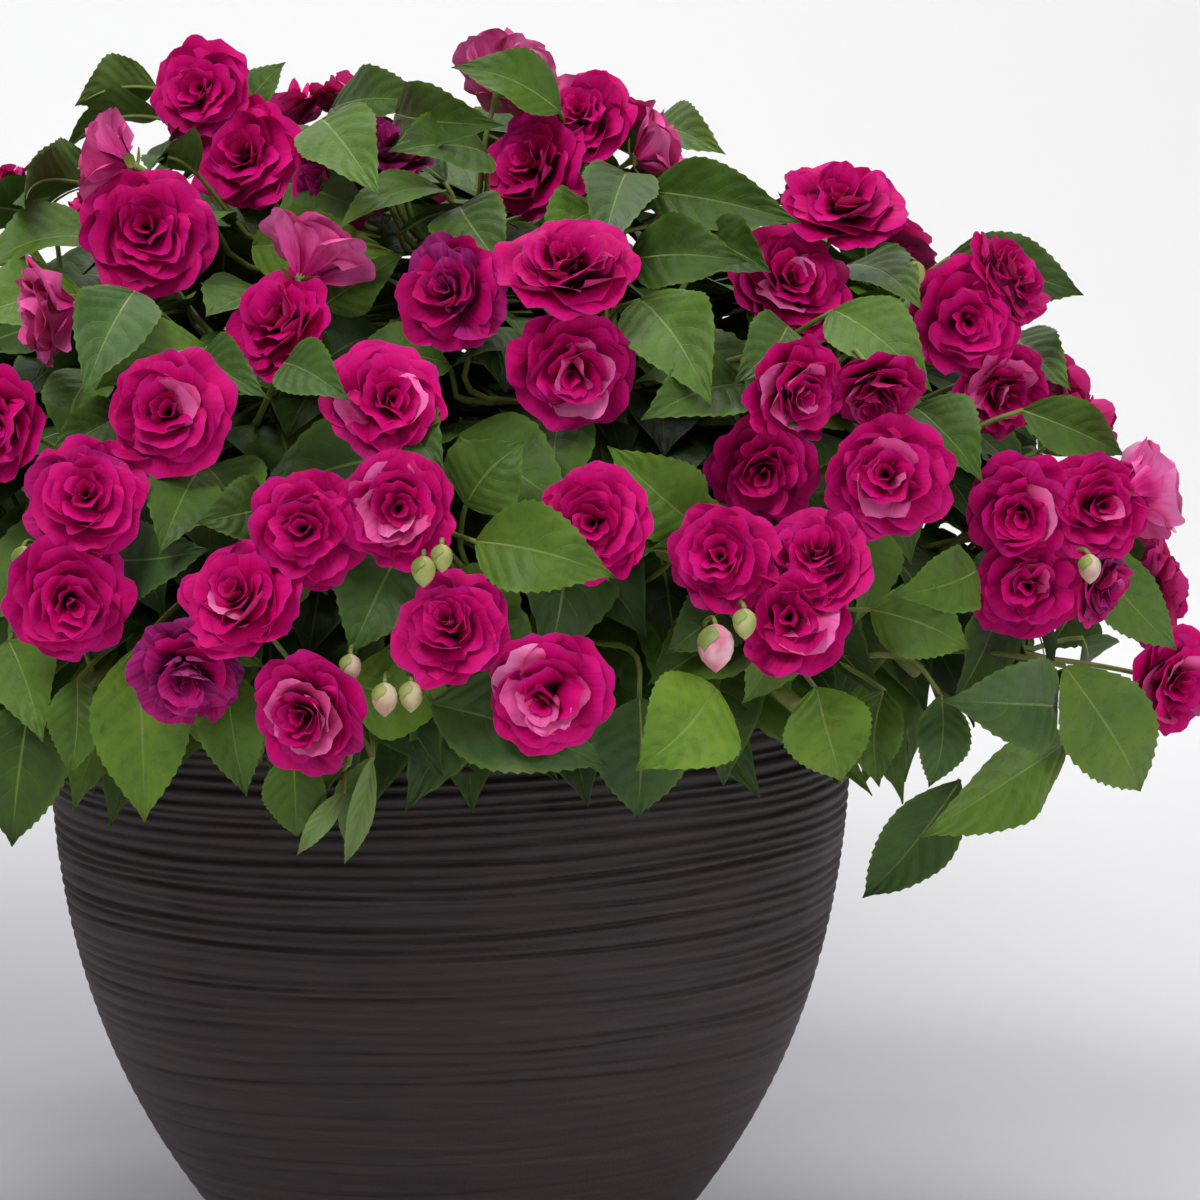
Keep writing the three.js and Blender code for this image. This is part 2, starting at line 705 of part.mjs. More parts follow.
// A flower stalk is straight where it can be, or comes up to its bloom from behind in a bend.
function stalkBody(root, end, away, bend) {
  const ends = [ROOT_RADIUS, STALK_RADIUS];
  if (bend === 0) return tube([root, end], ends, 3);
  const neck = end.clone().addScaledVector(away, 0.7 * root.distanceTo(end));
  const middle = root.clone().lerp(end, 0.6).lerp(neck, bend);
  return tube([root, middle, end], [ends[0], ends[1], ends[1]], 3);
}

function budBody(root, bud, bend) {
  const hang = bud.hang;
  const neck = bud.at.clone().addScaledVector(hang, -0.45 * bud.length);
  const lift = root.clone().lerp(neck, 0.6);
  lift.z += bend * 0.5 * root.distanceTo(neck);
  const widest = bud.at.clone();
  const tip = bud.at.clone().addScaledVector(hang, 0.55 * bud.length);
  const width = 0.36 * bud.length;
  return tube([root, lift, neck, widest, tip], [ROOT_RADIUS, 1.2, 1.3, width, 0.5], 4);
}

// ---------------------------------------------------------------- leaves

// Half the blade's width along the midrib, as a share of the widest: a broad oval with a drawn-out tip.
// The margin's teeth point forwards, so the points alternate between a tooth and the notch behind it.
const LEAF_MARGIN = [
  [0.14, 0.66],
  [0.38, 1],
  [0.55, 0.82],
  [0.78, 0.5],
];
const PLAIN_MARGIN = [
  [0.16, 0.7],
  [0.42, 1],
  [0.74, 0.6],
];
const LEAF_RIB = [0.3, 0.66];
const LEAF_THICK = 1.7;

// The leaf's surface: share 0 to 1 from foot to tip, and side -1 to 1 from one margin to the other.
function leafPoint(leaf, share, side) {
  const half = leaf.width / 2;
  const arch = leaf.arch * 4 * share * (1 - share) - leaf.droop * share * share;
  const wave = leaf.wave * Math.sin(leaf.phase + 9 * share) * side * side;
  const fold = leaf.fold * Math.abs(side);
  const p = leaf.foot.clone().lerp(leaf.tip, share);
  p.addScaledVector(leaf.across, half * side);
  p.addScaledVector(leaf.face, arch + wave + fold);
  return p;
}

// The underside of the blade's foot, drawn back a little along its stalk.
function footUnder(leaf, outward) {
  return leafPoint(leaf, 0, 0).addScaledVector(leaf.face, -2).addScaledVector(outward, -1.2);
}

const STRAIGHTEST_FOLD = 0.25; // a stalk may not fold back under its blade: least cosine between them

function foldsBack(leaf, root) {
  return leaf.foot.clone().sub(root).normalize().dot(leaf.along) < STRAIGHTEST_FOLD;
}

function leafBody(leaf, root, pad) {
  const points = [];
  const faces = [];
  const put = (p) => points.push(p) - 1;
  const widen = 1 + (2 * pad) / leaf.width;
  const edge = ([share, half], sign) => put(leafPoint(leaf, share, sign * half * widen));
  const left = leaf.margin.map((spot) => edge(spot, -1));
  const right = leaf.margin.map((spot) => edge(spot, 1));
  const tip = put(leafPoint(leaf, 1, 0).addScaledVector(leaf.along, pad));
  const footLeft = put(leafPoint(leaf, 0, 0).addScaledVector(leaf.across, -1.5));
  const footRight = put(leafPoint(leaf, 0, 0).addScaledVector(leaf.across, 1.5));
  const outward = leaf.foot.clone().sub(root).normalize();
  const footBelow = put(footUnder(leaf, outward));
  const ribs = LEAF_RIB.map((share) => {
    const above = put(leafPoint(leaf, share, 0).addScaledVector(leaf.face, pad));
    const below = put(leafPoint(leaf, share, 0).addScaledVector(leaf.face, -LEAF_THICK - pad));
    return { above, below };
  });
  const rim = [footRight, ...right, tip, ...[...left].reverse(), footLeft];
  const half = leaf.margin.length / 2;
  const ribOf = (index) => {
    const share = index <= half || index >= rim.length - 1 - half ? 0 : 1;
    return ribs[share];
  };
  for (let i = 0; i + 1 < rim.length; i++) {
    const here = ribOf(i);
    const next = ribOf(i + 1);
    faces.push([rim[i], rim[i + 1], here.above], [rim[i + 1], rim[i], here.below]);
    if (here !== next) {
      faces.push([rim[i + 1], next.above, here.above], [rim[i + 1], here.below, next.below]);
    }
  }
  faces.push([footLeft, footRight, ribs[0].above]);
  faces.push([footRight, footBelow, ribs[0].below], [footBelow, footLeft, ribs[0].below]);
  // The stalk is three-sided and ends inside the shoot that it grows from.
  const aside = leaf.across.clone().addScaledVector(outward, -leaf.across.dot(outward)).normalize();
  const under = outward.clone().cross(aside);
  if (under.dot(leaf.face) > 0) under.negate();
  const rootLeft = put(root.clone().addScaledVector(aside, -ROOT_RADIUS));
  const rootRight = put(root.clone().addScaledVector(aside, ROOT_RADIUS));
  const rootBelow = put(root.clone().addScaledVector(under, ROOT_RADIUS));
  faces.push([rootLeft, rootRight, footRight], [rootLeft, footRight, footLeft]);
  faces.push([rootRight, rootBelow, footBelow], [rootRight, footBelow, footRight]);
  faces.push([rootBelow, rootLeft, footLeft], [rootBelow, footLeft, footBelow]);
  faces.push([rootLeft, rootBelow, rootRight]);
  return { points, faces };
}

// The settings that a leaf tries, in turn, until it lies clear of its neighbours: how far the foot and
// the tip move out, and how far the tip swings aside.
const FRONT_SETTINGS = [
  [0, 0, 0],
  [5, 5, 0],
  [-6, -6, 0],
  [0, 10, 0],
  [10, 10, 0],
  [-12, -12, 0],
  [-10, 6, 0],
  [16, 16, 0],
  [4, 20, 0],
  [-18, -18, 0],
  [0, 6, 6],
  [0, 6, -6],
  [22, 22, 0],
  [-24, -24, 0],
  [-8, -8, 10],
  [-8, -8, -10],
  [30, 30, 0],
];
// For a leaf that grows straight out of a core: how far it turns aside, and how far its tip moves out.
const CORE_SETTINGS = [
  [0, 0],
  [25, 0],
  [-25, 0],
  [50, 4],
  [-50, 4],
  [0, -12],
  [80, 0],
  [-80, 0],
];

function leafFrame(foot, tip, outward, spec) {
  const along = tip.clone().sub(foot).normalize();
  const face = outward.clone().addScaledVector(along, -outward.dot(along)).normalize();
  face.applyAxisAngle(along, radians(spec.roll));
  const across = face.clone().cross(along);
  return { ...spec, foot, tip, along, face, across };
}

function frontLeaf(spec, [footMove, tipMove, swing]) {
  const [across, height, tipAcross, tipHeight, , , footLift, tipLift] = spec.row;
  const foot = moundSeenAt(across, height, footLift - 6 + footMove);
  const aside = tipAcross > across ? swing : -swing;
  const tip = moundSeenAt(tipAcross + 0.3 * aside, tipHeight + aside, tipLift + tipMove);
  const outward = moundNormal(foot.clone().lerp(tip, 0.5)).addScaledVector(UP, 0.25);
  return leafFrame(foot, tip, outward, spec);
}

// The place on the mound straight out from its heart through the given point.
function toMound(point, lift) {
  const share = 1 / moundLevel(point, lift);
  return new Vector3(point.x * share, point.y * share, mix(MOUND.heart, point.z, share));
}

// A leaf whose foot is sunk in a core; it stands out from there, down and to one side.
function coreLeaf(spec, [turn, lift]) {
  const foot = spec.root.at;
  const normal = moundNormal(foot);
  const { right, up } = axesOf(normal);
  const way = radians(spec.heading + turn);
  const aim = foot.clone();
  aim.addScaledVector(right, spec.reach * Math.sin(way));
  aim.addScaledVector(up, -spec.reach * Math.cos(way));
  const tip = toMound(aim, spec.lift + lift);
  const outward = normal.clone().addScaledVector(UP, 0.5);
  return leafFrame(foot, tip, outward, spec);
}

// The leaves that grow straight out of the cores: those that hang over the rim, and the others. Each is
// the most that grow, and the least distance from their middles to other middles.
const LOW_LEAVES = { most: 22, room: 30 };
const HIGH_LEAVES = { most: 32, room: 18 };

function frontLeaves() {
  const draw = randomStream(21);
  return FRONT_LEAVES.map((row) => {
    const [, , , , width, roll] = row;
    const spec = { row, width, roll, margin: LEAF_MARGIN };
    spec.arch = 3 + 4 * draw();
    spec.droop = 2 * draw();
    spec.fold = 2 + 3 * draw();
    spec.wave = 0.8 + draw();
    spec.phase = 6 * draw();
    return spec;
  });
}

// One possible leaf for each place on the cores.
function coreLeaves(places) {
  return places.filter((place) => place.row !== undefined).map((root, i) => {
    const draw = randomStream(1000 + i);
    const spec = { root, margin: PLAIN_MARGIN };
    spec.heading = 90 * (draw() - 0.5);
    spec.reach = 40 + 16 * draw();
    spec.lift = 8 * draw() - (root.row === 0 ? 26 : 30); // these blades lie close over the cores
    if (root.row === 0) spec.reach += 8;
    spec.width = 34 + 8 * draw();
    spec.roll = 40 * (draw() - 0.5);
    spec.arch = 4 + 5 * draw();
    spec.droop = 4 * draw();
    spec.fold = 2 + 3 * draw();
    spec.wave = 0.8 + draw();
    spec.phase = 6 * draw();
    return spec;
  });
}

const middleOf = (leaf) => leaf.foot.clone().lerp(leaf.tip, 0.5);

// ---------------------------------------------------------------- growing the plant

function boxOf(solid) {
  const { min, max } = solid.boundingBox();
  return { min, max };
}

function apart(a, b) {
  return [0, 1, 2].some((k) => a.min[k] > b.max[k] || b.min[k] > a.max[k]);
}

function meets(solid, box, other) {
  if (apart(box, other.box)) return false;
  const shared = solid.intersect(other.solid);
  const crossing = !shared.isEmpty();
  shared.delete();
  return crossing;
}

// Blooms whose petals press into each other become one bunch.
function gatherBunches(blooms) {
  const pieces = blooms.map((bloom) => {
    const solid = solidOf(bloomBody(bloom, 0));
    return { bloom, solid, box: boxOf(solid) };
  });
  const bunch = pieces.map((_, i) => i);
  const leader = (i) => (bunch[i] === i ? i : leader(bunch[i]));
  for (let i = 0; i < pieces.length; i++) {
    for (let j = i + 1; j < pieces.length; j++) {
      if (meets(pieces[i].solid, pieces[i].box, pieces[j])) bunch[leader(j)] = leader(i);
    }
  }
  const bunches = new Map();
  pieces.forEach((piece, i) => {
    const key = leader(i);
    if (!bunches.has(key)) bunches.set(key, []);
    bunches.get(key).push(piece);
  });
  return [...bunches.values()];
}

// The largest body of a joined solid; a scrap that joining leaves loose is dropped.
function oneBody(solid) {
  const bodies = solid.decompose();
  bodies.sort((a, b) => b.volume() - a.volume());
  return bodies[0];
}

const potPiece = { solid: potSolid() };
potPiece.box = boxOf(potPiece.solid);
const stems = allStems();
const soilPiece = { solid: soilSolid(stems) };
soilPiece.box = boxOf(soilPiece.solid);

const blooms = allBlooms();
const bunches = gatherBunches(blooms);
const bloomPieces = bunches.flat();

const growth = stems.map((stem) => {
  const bodies = [stem.core.body, ...stem.runs.map((run) => tube(run.points, run.radii, run.sides))];
  return bodies.map((body) => {
    const solid = solidOf(body);
    return { solid, box: boxOf(solid) };
  });
});

// A new piece fits where it is rooted in its own stem and crosses no bloom, pot, soil or other stem and,
// where that is strict, nothing else that grew from its own stem. The padded body keeps a clearance.
function fits(body, padded, owner, own, strict) {
  const solid = solidOf(padded);
  const box = boxOf(solid);
  let clear = !meets(solid, box, potPiece) && !meets(solid, box, soilPiece);
  for (let i = 0; clear && i < bloomPieces.length; i++) {
    if (bloomPieces[i].bloom !== own && meets(solid, box, bloomPieces[i])) clear = false;
  }
  for (let k = 0; clear && k < growth.length; k++) {
    if (k === owner && !strict) continue;
    const rivals = k === owner ? growth[k].slice(1 + stems[k].runs.length) : growth[k];
    clear = !rivals.some((piece) => meets(solid, box, piece));
  }
  solid.delete();
  if (!clear) return null;
  const real = solidOf(body);
  const piece = { solid: real, box: boxOf(real) };
  const touches = (other) => meets(real, piece.box, other);
  const rooted = growth[owner].slice(0, 1 + stems[owner].runs.length).some(touches);
  const caught = own !== null && touches(bloomPieces.find((other) => other.bloom === own));
  if (rooted && !caught) return piece;
  real.delete();
  return null;
}

const places = growingPlaces(stems);

function accept(piece, root) {
  growth[root.owner].push(piece);
  root.taken = true;
}

function growStalk(bloom) {
  const away = bloom.facing.clone().negate();
  const end = bloomBack(bloom).addScaledVector(away, STALK_GAP);
  for (const strict of [true, false]) {
    for (const root of rootsFor(end, places, 6)) {
      for (const bend of STALK_BENDS) {
        const body = stalkBody(root.at, end, away, bend);
        const piece = fits(body, body, root.owner, bloom, strict);
        if (piece) return accept(piece, root);
      }
    }
  }
}

function growFrontLeaf(spec) {
  for (const strict of [true, false]) {
    for (const setting of FRONT_SETTINGS) {
      const leaf = frontLeaf(spec, setting);
      for (const root of rootsFor(leaf.foot, places, 6)) {
        if (foldsBack(leaf, root.at)) continue;
        const body = leafBody(leaf, root.at, 0);
        const piece = fits(body, leafBody(leaf, root.at, CLEARANCE), root.owner, null, strict);
        if (!piece) continue;
        accept(piece, root);
        return leaf;
      }
    }
  }
  return null;
}

function growCoreLeaf(spec) {
  for (const setting of CORE_SETTINGS) {
    const leaf = coreLeaf(spec, setting);
    const root = leaf.foot.clone().addScaledVector(moundNormal(leaf.foot), -8);
    if (foldsBack(leaf, root)) continue;
    const body = leafBody(leaf, root, 0);
    const piece = fits(body, leafBody(leaf, root, CLEARANCE), spec.root.owner, null, true);
    if (!piece) continue;
    accept(piece, spec.root);
    return leaf;
  }
  return null;
}

// Each of these leaves in turn grows where the plant is barest: where its middle lies furthest from
// the middles of all leaves and blooms so far. They end when that distance falls below the room.
function fillBarePlaces(specs, { most, room }, covered) {
  const candidates = specs.map((spec) => {
    const middle = middleOf(coreLeaf(spec, CORE_SETTINGS[0]));
    return { spec, middle, room: Math.min(...covered.map((point) => point.distanceTo(middle))) };
  });
  let grown = 0;
  while (grown < most && candidates.length > 0) {
    const best = candidates.reduce((one, two) => (two.room > one.room ? two : one));
    candidates.splice(candidates.indexOf(best), 1);
    if (best.room < room) break;
    const leaf = best.spec.root.taken ? null : growCoreLeaf(best.spec);
    if (leaf === null) continue;
    const place = middleOf(leaf);
    covered.push(place);
    for (const other of candidates) other.room = Math.min(other.room, place.distanceTo(other.middle));
    grown += 1;
  }
}

function growBud(row) {
  const [across, height, length, lift] = row;
  const hang = new Vector3(0, -0.3, -1).normalize();
  for (const proud of [0, 8, 16, -8, 24, -16]) {
    const at = moundSeenAt(across, height, lift + proud);
    for (const root of rootsFor(at, places, 8)) {
      for (const bend of [0.3, 0.1, 0.5]) {
        const body = budBody(root.at, { at, hang, length }, bend);
        const piece = fits(body, body, root.owner, null, true);
        if (piece) return accept(piece, root);
      }
    }
  }
}

for (const bloom of blooms) growStalk(bloom);
for (const row of FRONT_BUDS) growBud(row);
const frontGrown = frontLeaves().map(growFrontLeaf).filter((leaf) => leaf !== null);
const covered = [...blooms.map((bloom) => bloom.centre), ...frontGrown.map(middleOf)];
const spares = coreLeaves(places);
fillBarePlaces(spares.filter((spec) => spec.root.row === 0), LOW_LEAVES, covered);
fillBarePlaces(spares.filter((spec) => spec.root.row > 0), HIGH_LEAVES, covered);

// ---------------------------------------------------------------- the finished object

const MATERIALS = {
  pot: new THREE.MeshStandardMaterial({ color: '#2f2a2a', roughness: 0.75, metalness: 0 }),
  soil: new THREE.MeshStandardMaterial({ color: '#2a2019', roughness: 1, metalness: 0 }),
  leaf: new THREE.MeshStandardMaterial({ color: '#4a7434', roughness: 0.6, metalness: 0 }),
  petal: new THREE.MeshStandardMaterial({ color: '#b5105c', roughness: 0.7, metalness: 0 }),
};

const plant = new THREE.Group();

function addNode(name, solid, material) {
  const mesh = new THREE.Mesh(geometryOf(solid), material);
  mesh.name = name;
  plant.add(mesh);
}

const numbered = (word, index) => `${word}_${String(index + 1).padStart(2, '0')}`;

addNode('pot', potPiece.solid, MATERIALS.pot);
addNode('potting_soil', soilPiece.solid, MATERIALS.soil);
growth.forEach((pieces, i) => {
  const joined = wasm.Manifold.union(pieces.map((piece) => piece.solid));
  addNode(numbered('leafy_stem', i), oneBody(joined), MATERIALS.leaf);
});
bunches.forEach((pieces, i) => {
  const joined = wasm.Manifold.union(pieces.map((piece) => piece.solid));
  addNode(numbered('bloom', i), oneBody(joined), MATERIALS.petal);
});

export default plant;
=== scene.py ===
"""A double-flowered busy lizzie in its ridged pot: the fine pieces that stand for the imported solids."""
import math

import bpy
import numpy as np
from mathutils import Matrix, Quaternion, Vector, kdtree


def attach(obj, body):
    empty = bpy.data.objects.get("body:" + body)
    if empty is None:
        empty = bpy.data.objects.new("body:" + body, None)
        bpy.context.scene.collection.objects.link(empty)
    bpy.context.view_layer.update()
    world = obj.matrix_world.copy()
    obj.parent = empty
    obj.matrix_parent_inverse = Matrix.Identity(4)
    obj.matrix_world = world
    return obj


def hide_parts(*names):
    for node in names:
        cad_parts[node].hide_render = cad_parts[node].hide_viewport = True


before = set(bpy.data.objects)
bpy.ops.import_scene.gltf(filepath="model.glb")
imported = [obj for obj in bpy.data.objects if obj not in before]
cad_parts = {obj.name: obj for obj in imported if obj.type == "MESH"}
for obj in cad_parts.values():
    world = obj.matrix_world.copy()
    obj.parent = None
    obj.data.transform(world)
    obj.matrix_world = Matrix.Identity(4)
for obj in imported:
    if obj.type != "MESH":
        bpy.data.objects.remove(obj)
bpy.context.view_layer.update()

# --- the layout, in millimetres, as in the solids

POT_HEIGHT, RIM_RADIUS, POT_DRAW_IN, POT_WALL, POT_FLOOR, RIM_BAND = 250, 152.5, 77, 7, 10, 12
SOIL_TOP, HOLE_DEPTH = 232, 26
WIDE, DEEP, HEART, REACH_UP, REACH_DOWN = 275, 250, 255, 190, 130  # the mound that the blooms' centres lie on
EYE = (57, -2389, 545)
STALK_GAP, STALK_RADIUS, STALK_BENDS, LONGEST_STALK = 0.35, 1.3, (0, 0.35, 0.6, 0.85), 105.5
PRESSED = 0.76  # how close the blooms of a bunch sit, as a share of their two radii
BLOOM_BACK = 0.42  # a bloom's depth behind its centre, as a share of its radius
CORE_LUMP, CORE_DROOP, CORE_GAP, CORE_SINK = 0.08, 7, 0.3, 0.975
PLACE_SPACING = 7

# Bunches of blooms: across, height, diameter, facing to the right and up, and how far each stands proud.
FRONT_BUNCHES = [
    [(-93, 445, 39, -15, 15, -3), (-76, 420, 44, -15, 20, 3)],
    [(-126, 418, 36, -110, 10, -6), (-113, 391, 50, 0, 15, 4)],
    [(-52, 381, 42, 140, 50, -6), (-63, 356, 42, -35, 25, 2)],
    [(-150, 362, 42, -75, -10, -4)],
    [(-106, 323, 44, -5, 15, 2)],
    [(-24, 328, 43, 5, 25, 2)],
    [(-172, 318, 40, -30, 5, 0)],
    [(-24, 423, 38, 20, 60, -10), (-42, 409, 36, -20, -30, -10)],
    [(21, 449, 40, 160, 35, -4), (57, 431, 42, -15, 35, 0), (33, 417, 43, -30, 20, 6),
     (88, 416, 37, 90, 20, -4)],
    [(45, 378, 48, 5, 50, 2), (47, 340, 44, 5, -10, 0)],
    [(1, 369, 42, -25, 10, 2)],
    [(129, 372, 46, 20, 30, 4), (149, 403, 45, 5, 50, -2)],
    [(195, 359, 44, 10, 5, 4), (208, 331, 37, 20, -15, 0), (211, 374, 40, 60, 30, -8)],
    [(131, 331, 40, 35, -10, 2), (163, 331, 36, 10, -45, -4), (167, 294, 45, 5, 5, 2),
     (119, 302, 40, -5, -15, -2)],
    [(217, 286, 42, -10, -5, 4), (245, 288, 41, 5, 15, 2), (261, 293, 40, 115, 10, -4),
     (219, 257, 41, 0, -10, 2), (249, 257, 32, 60, -20, -4)],
    [(-138, 290, 45, -5, 15, 0), (-146, 249, 46, 5, 0, 3)],
    [(-80, 252, 45, -20, 30, 2), (-52, 280, 42, 0, 0, 2), (-16, 288, 41, -5, 10, 4),
     (-105, 220, 40, 0, -20, -4)],
    [(-54, 208, 44, -25, -10, 4)],
    [(1, 241, 41, -5, 20, 2)],
    [(55, 282, 41, -10, 10, -2)],
    [(38, 216, 43, 0, -5, 4)],
    [(103, 268, 39, -5, 15, 0), (140, 237, 45, -5, 10, 4), (139, 267, 40, -5, 35, -2)],
    [(275, 220, 42, 35, -5, 0)],
]

# Compass angle, height and number of blooms, on the back and the left side.
OTHER_BUNCHES = [
    (10, 250, 2), (34, 240, 2), (62, 258, 2), (90, 242, 2), (118, 258, 1), (146, 240, 2), (172, 258, 2),
    (200, 240, 2), (22, 318, 2), (52, 326, 1), (82, 318, 2), (112, 328, 2), (142, 320, 2), (172, 330, 1),
    (198, 326, 2), (36, 390, 2), (84, 386, 2), (134, 390, 2), (172, 400, 1), (60, 432, 2), (126, 434, 2),
]

# Leaves: foot (across, height), tip (across, height), width, roll, and how far foot and tip stand proud.
FRONT_LEAVES = [
    (-110, 446, -141, 440, 26, 55, -6, 8), (-108, 435, -147, 424, 28, 30, -4, 6),
    (-134, 416, -160, 407, 24, 60, -6, 6), (-138, 410, -163, 402, 24, 50, -8, 4),
    (-150, 396, -182, 400, 28, 30, -6, 6), (-127, 388, -178, 380, 32, 10, -10, 6),
    (-138, 368, -184, 358, 34, 0, -10, 6), (-119, 369, -138, 332, 30, 0, 6, 16),
    (-92, 348, -134, 332, 28, 15, -10, 2), (-80, 432, -62, 456, 22, 20, -14, -4),
    (-44, 438, -6, 440, 24, 25, -8, 4), (-48, 434, -26, 405, 30, 0, 0, 12),
    (15, 421, -22, 423, 33, 5, -4, 6), (-2, 407, -42, 396, 22, 25, -4, 4),
    (-74, 386, -22, 384, 28, 35, -8, 8), (-47, 364, -18, 384, 24, 45, -10, 2),
    (-62, 342, -38, 328, 22, 0, -10, 0), (-93, 346, -70, 330, 22, 0, -14, -4),
    (42, 437, 2, 455, 24, 15, 2, 12), (4, 401, 22, 376, 28, 0, -8, 4), (67, 414, 57, 383, 28, 0, -4, 8),
    (77, 431, 103, 422, 22, 25, -8, 2), (75, 407, 133, 395, 27, 25, -4, 8),
    (68, 381, 112, 381, 28, 15, -8, 6), (72, 366, 98, 329, 34, 0, -6, 6),
    (128, 356, 109, 336, 24, 0, -10, 0), (112, 334, 73, 321, 30, 20, -8, 6),
    (189, 382, 240, 368, 28, 10, -2, 14), (150, 379, 178, 365, 26, 0, -14, -2),
    (145, 362, 182, 334, 30, 0, 0, 14), (213, 352, 235, 332, 24, 60, -4, 8),
    (217, 324, 256, 307, 22, 20, -8, 4), (176, 325, 202, 300, 30, 0, -16, -6),
    (-122, 323, -152, 307, 20, 10, -12, 0), (-129, 267, -94, 261, 28, 0, -14, -4),
    (-68, 287, -96, 281, 24, 0, -14, -2), (-20, 269, -38, 231, 34, 0, -2, 8),
    (-119, 233, -117, 166, 35, 0, 2, 12), (-142, 221, -145, 184, 20, 0, -14, -4),
    (-85, 225, -78, 176, 24, 0, -8, 4), (-102, 240, -71, 226, 24, 0, -8, 0),
    (-60, 194, -59, 160, 22, 0, -6, 2), (-39, 189, -55, 160, 20, 45, -6, 4),
    (-30, 191, -40, 155, 20, 45, -6, 4), (10, 274, 62, 261, 32, 0, 2, 16), (94, 280, 61, 310, 30, 0, -6, 6),
    (101, 218, 72, 187, 38, 0, 2, 12), (109, 252, 82, 231, 26, 0, -6, 6),
    (-7, 212, 60, 188, 34, -20, -8, 4), (72, 214, 71, 168, 36, 0, -12, -2),
    (86, 270, 62, 261, 20, 50, -10, 4), (200, 263, 168, 253, 24, 0, -10, 2),
    (160, 248, 198, 233, 28, 0, -6, 6), (139, 218, 150, 181, 32, 0, 0, 10),
    (165, 217, 162, 180, 24, 60, -10, 2), (187, 215, 183, 179, 20, 0, -14, -4),
    (231, 211, 188, 213, 34, 10, -8, 2), (194, 182, 157, 136, 27, 25, -8, 6),
    (235, 197, 180, 160, 34, 0, -4, 8), (234, 226, 266, 175, 36, 0, -2, 10),
    (239, 275, 277, 232, 24, 55, -2, 12), (-160, 214, -168, 156, 34, 0, -6, 6),
    (-168, 236, -156, 198, 26, 0, -16, -6),
]

# Buds: across, height, length, and how far each stands proud.
FRONT_BUDS = [
    (-162, 267, 11, 4), (-10, 263, 11, 12), (-3, 268, 10, 10), (-25, 214, 12, 8), (-15, 215, 11, 6),
    (-38, 226, 10, 0), (112, 243, 11, 6), (176, 376, 10, 2), (243, 264, 11, 6), (101, 234, 17, 6),
]

UP, EAST = Vector((0, 0, 1)), Vector((1, 0, 0))
MASK = 0xFFFFFFFF


def new_object(name, data):
    thing = bpy.data.objects.new(name, data)
    bpy.context.scene.collection.objects.link(thing)
    return thing


def stream(seed):
    """A repeatable stream of numbers from 0 to 1."""
    state = seed & MASK

    def draw():
        nonlocal state
        state = (state + 0x6D2B79F5) & MASK
        t = ((state ^ (state >> 15)) * (state | 1)) & MASK
        t = (t ^ (t + (((t ^ (t >> 7)) * (t | 61)) & MASK))) & MASK
        return (t ^ (t >> 14)) / 4294967296

    return draw


def mound_reach(height, lift=0):
    return (REACH_UP if height > HEART else REACH_DOWN) + lift


def mound_level(x, y, z, lift):
    """Below 1 inside the mound, raised by a lift, and above 1 outside it."""
    rise = (z - HEART) / mound_reach(z, lift)
    return math.sqrt((x / (WIDE + lift)) ** 2 + (y / (DEEP + lift)) ** 2 + rise**2)


def mound_normal(p):
    return Vector((p.x / WIDE**2, p.y / DEEP**2, (p.z - HEART) / mound_reach(p.z) ** 2)).normalized()


def mound_at(angle, height):
    share = math.sqrt(1 - ((height - HEART) / mound_reach(height)) ** 2)
    turn = math.radians(angle)
    return Vector((WIDE * share * math.cos(turn), DEEP * share * math.sin(turn), height))


def sight(across, height, y):
    """The point at depth y on the sight line through (across, height)."""
    share = 1 - y / EYE[1]
    return EYE[0] + (across - EYE[0]) * share, y, EYE[2] + (height - EYE[2]) * share


def mound_seen_at(across, height, lift):
    """Where the sight line through (across, height) first meets the mound, or comes closest to it."""
    level = lambda y: mound_level(*sight(across, height, y), lift)
    step = 5
    depths = range(-(DEEP + 60), 120, step)
    inside = next((y for y in depths if level(y) < 1), None)
    if inside is None:
        return Vector(sight(across, height, min(depths, key=level)))
    outside = inside - step
    for _ in range(30):
        middle = (outside + inside) / 2
        if level(middle) < 1:
            inside = middle
        else:
            outside = middle
    return Vector(sight(across, height, inside))


def to_mound(p, lift):
    share = 1 / mound_level(*p, lift)
    return Vector((p.x * share, p.y * share, HEART + (p.z - HEART) * share))


def facing(right, up):
    a, b = math.radians(right), math.radians(up)
    return Vector((math.sin(a) * math.cos(b), -math.cos(a) * math.cos(b), math.sin(b)))


def axes_of(face):
    right = (UP if abs(face.z) < 0.95 else EAST).cross(face).normalized()
    return right, face.cross(right)


def place_round(angle, radius, z):
    turn = math.radians(angle)
    return Vector((radius * math.cos(turn), radius * math.sin(turn) * DEEP / WIDE, z))


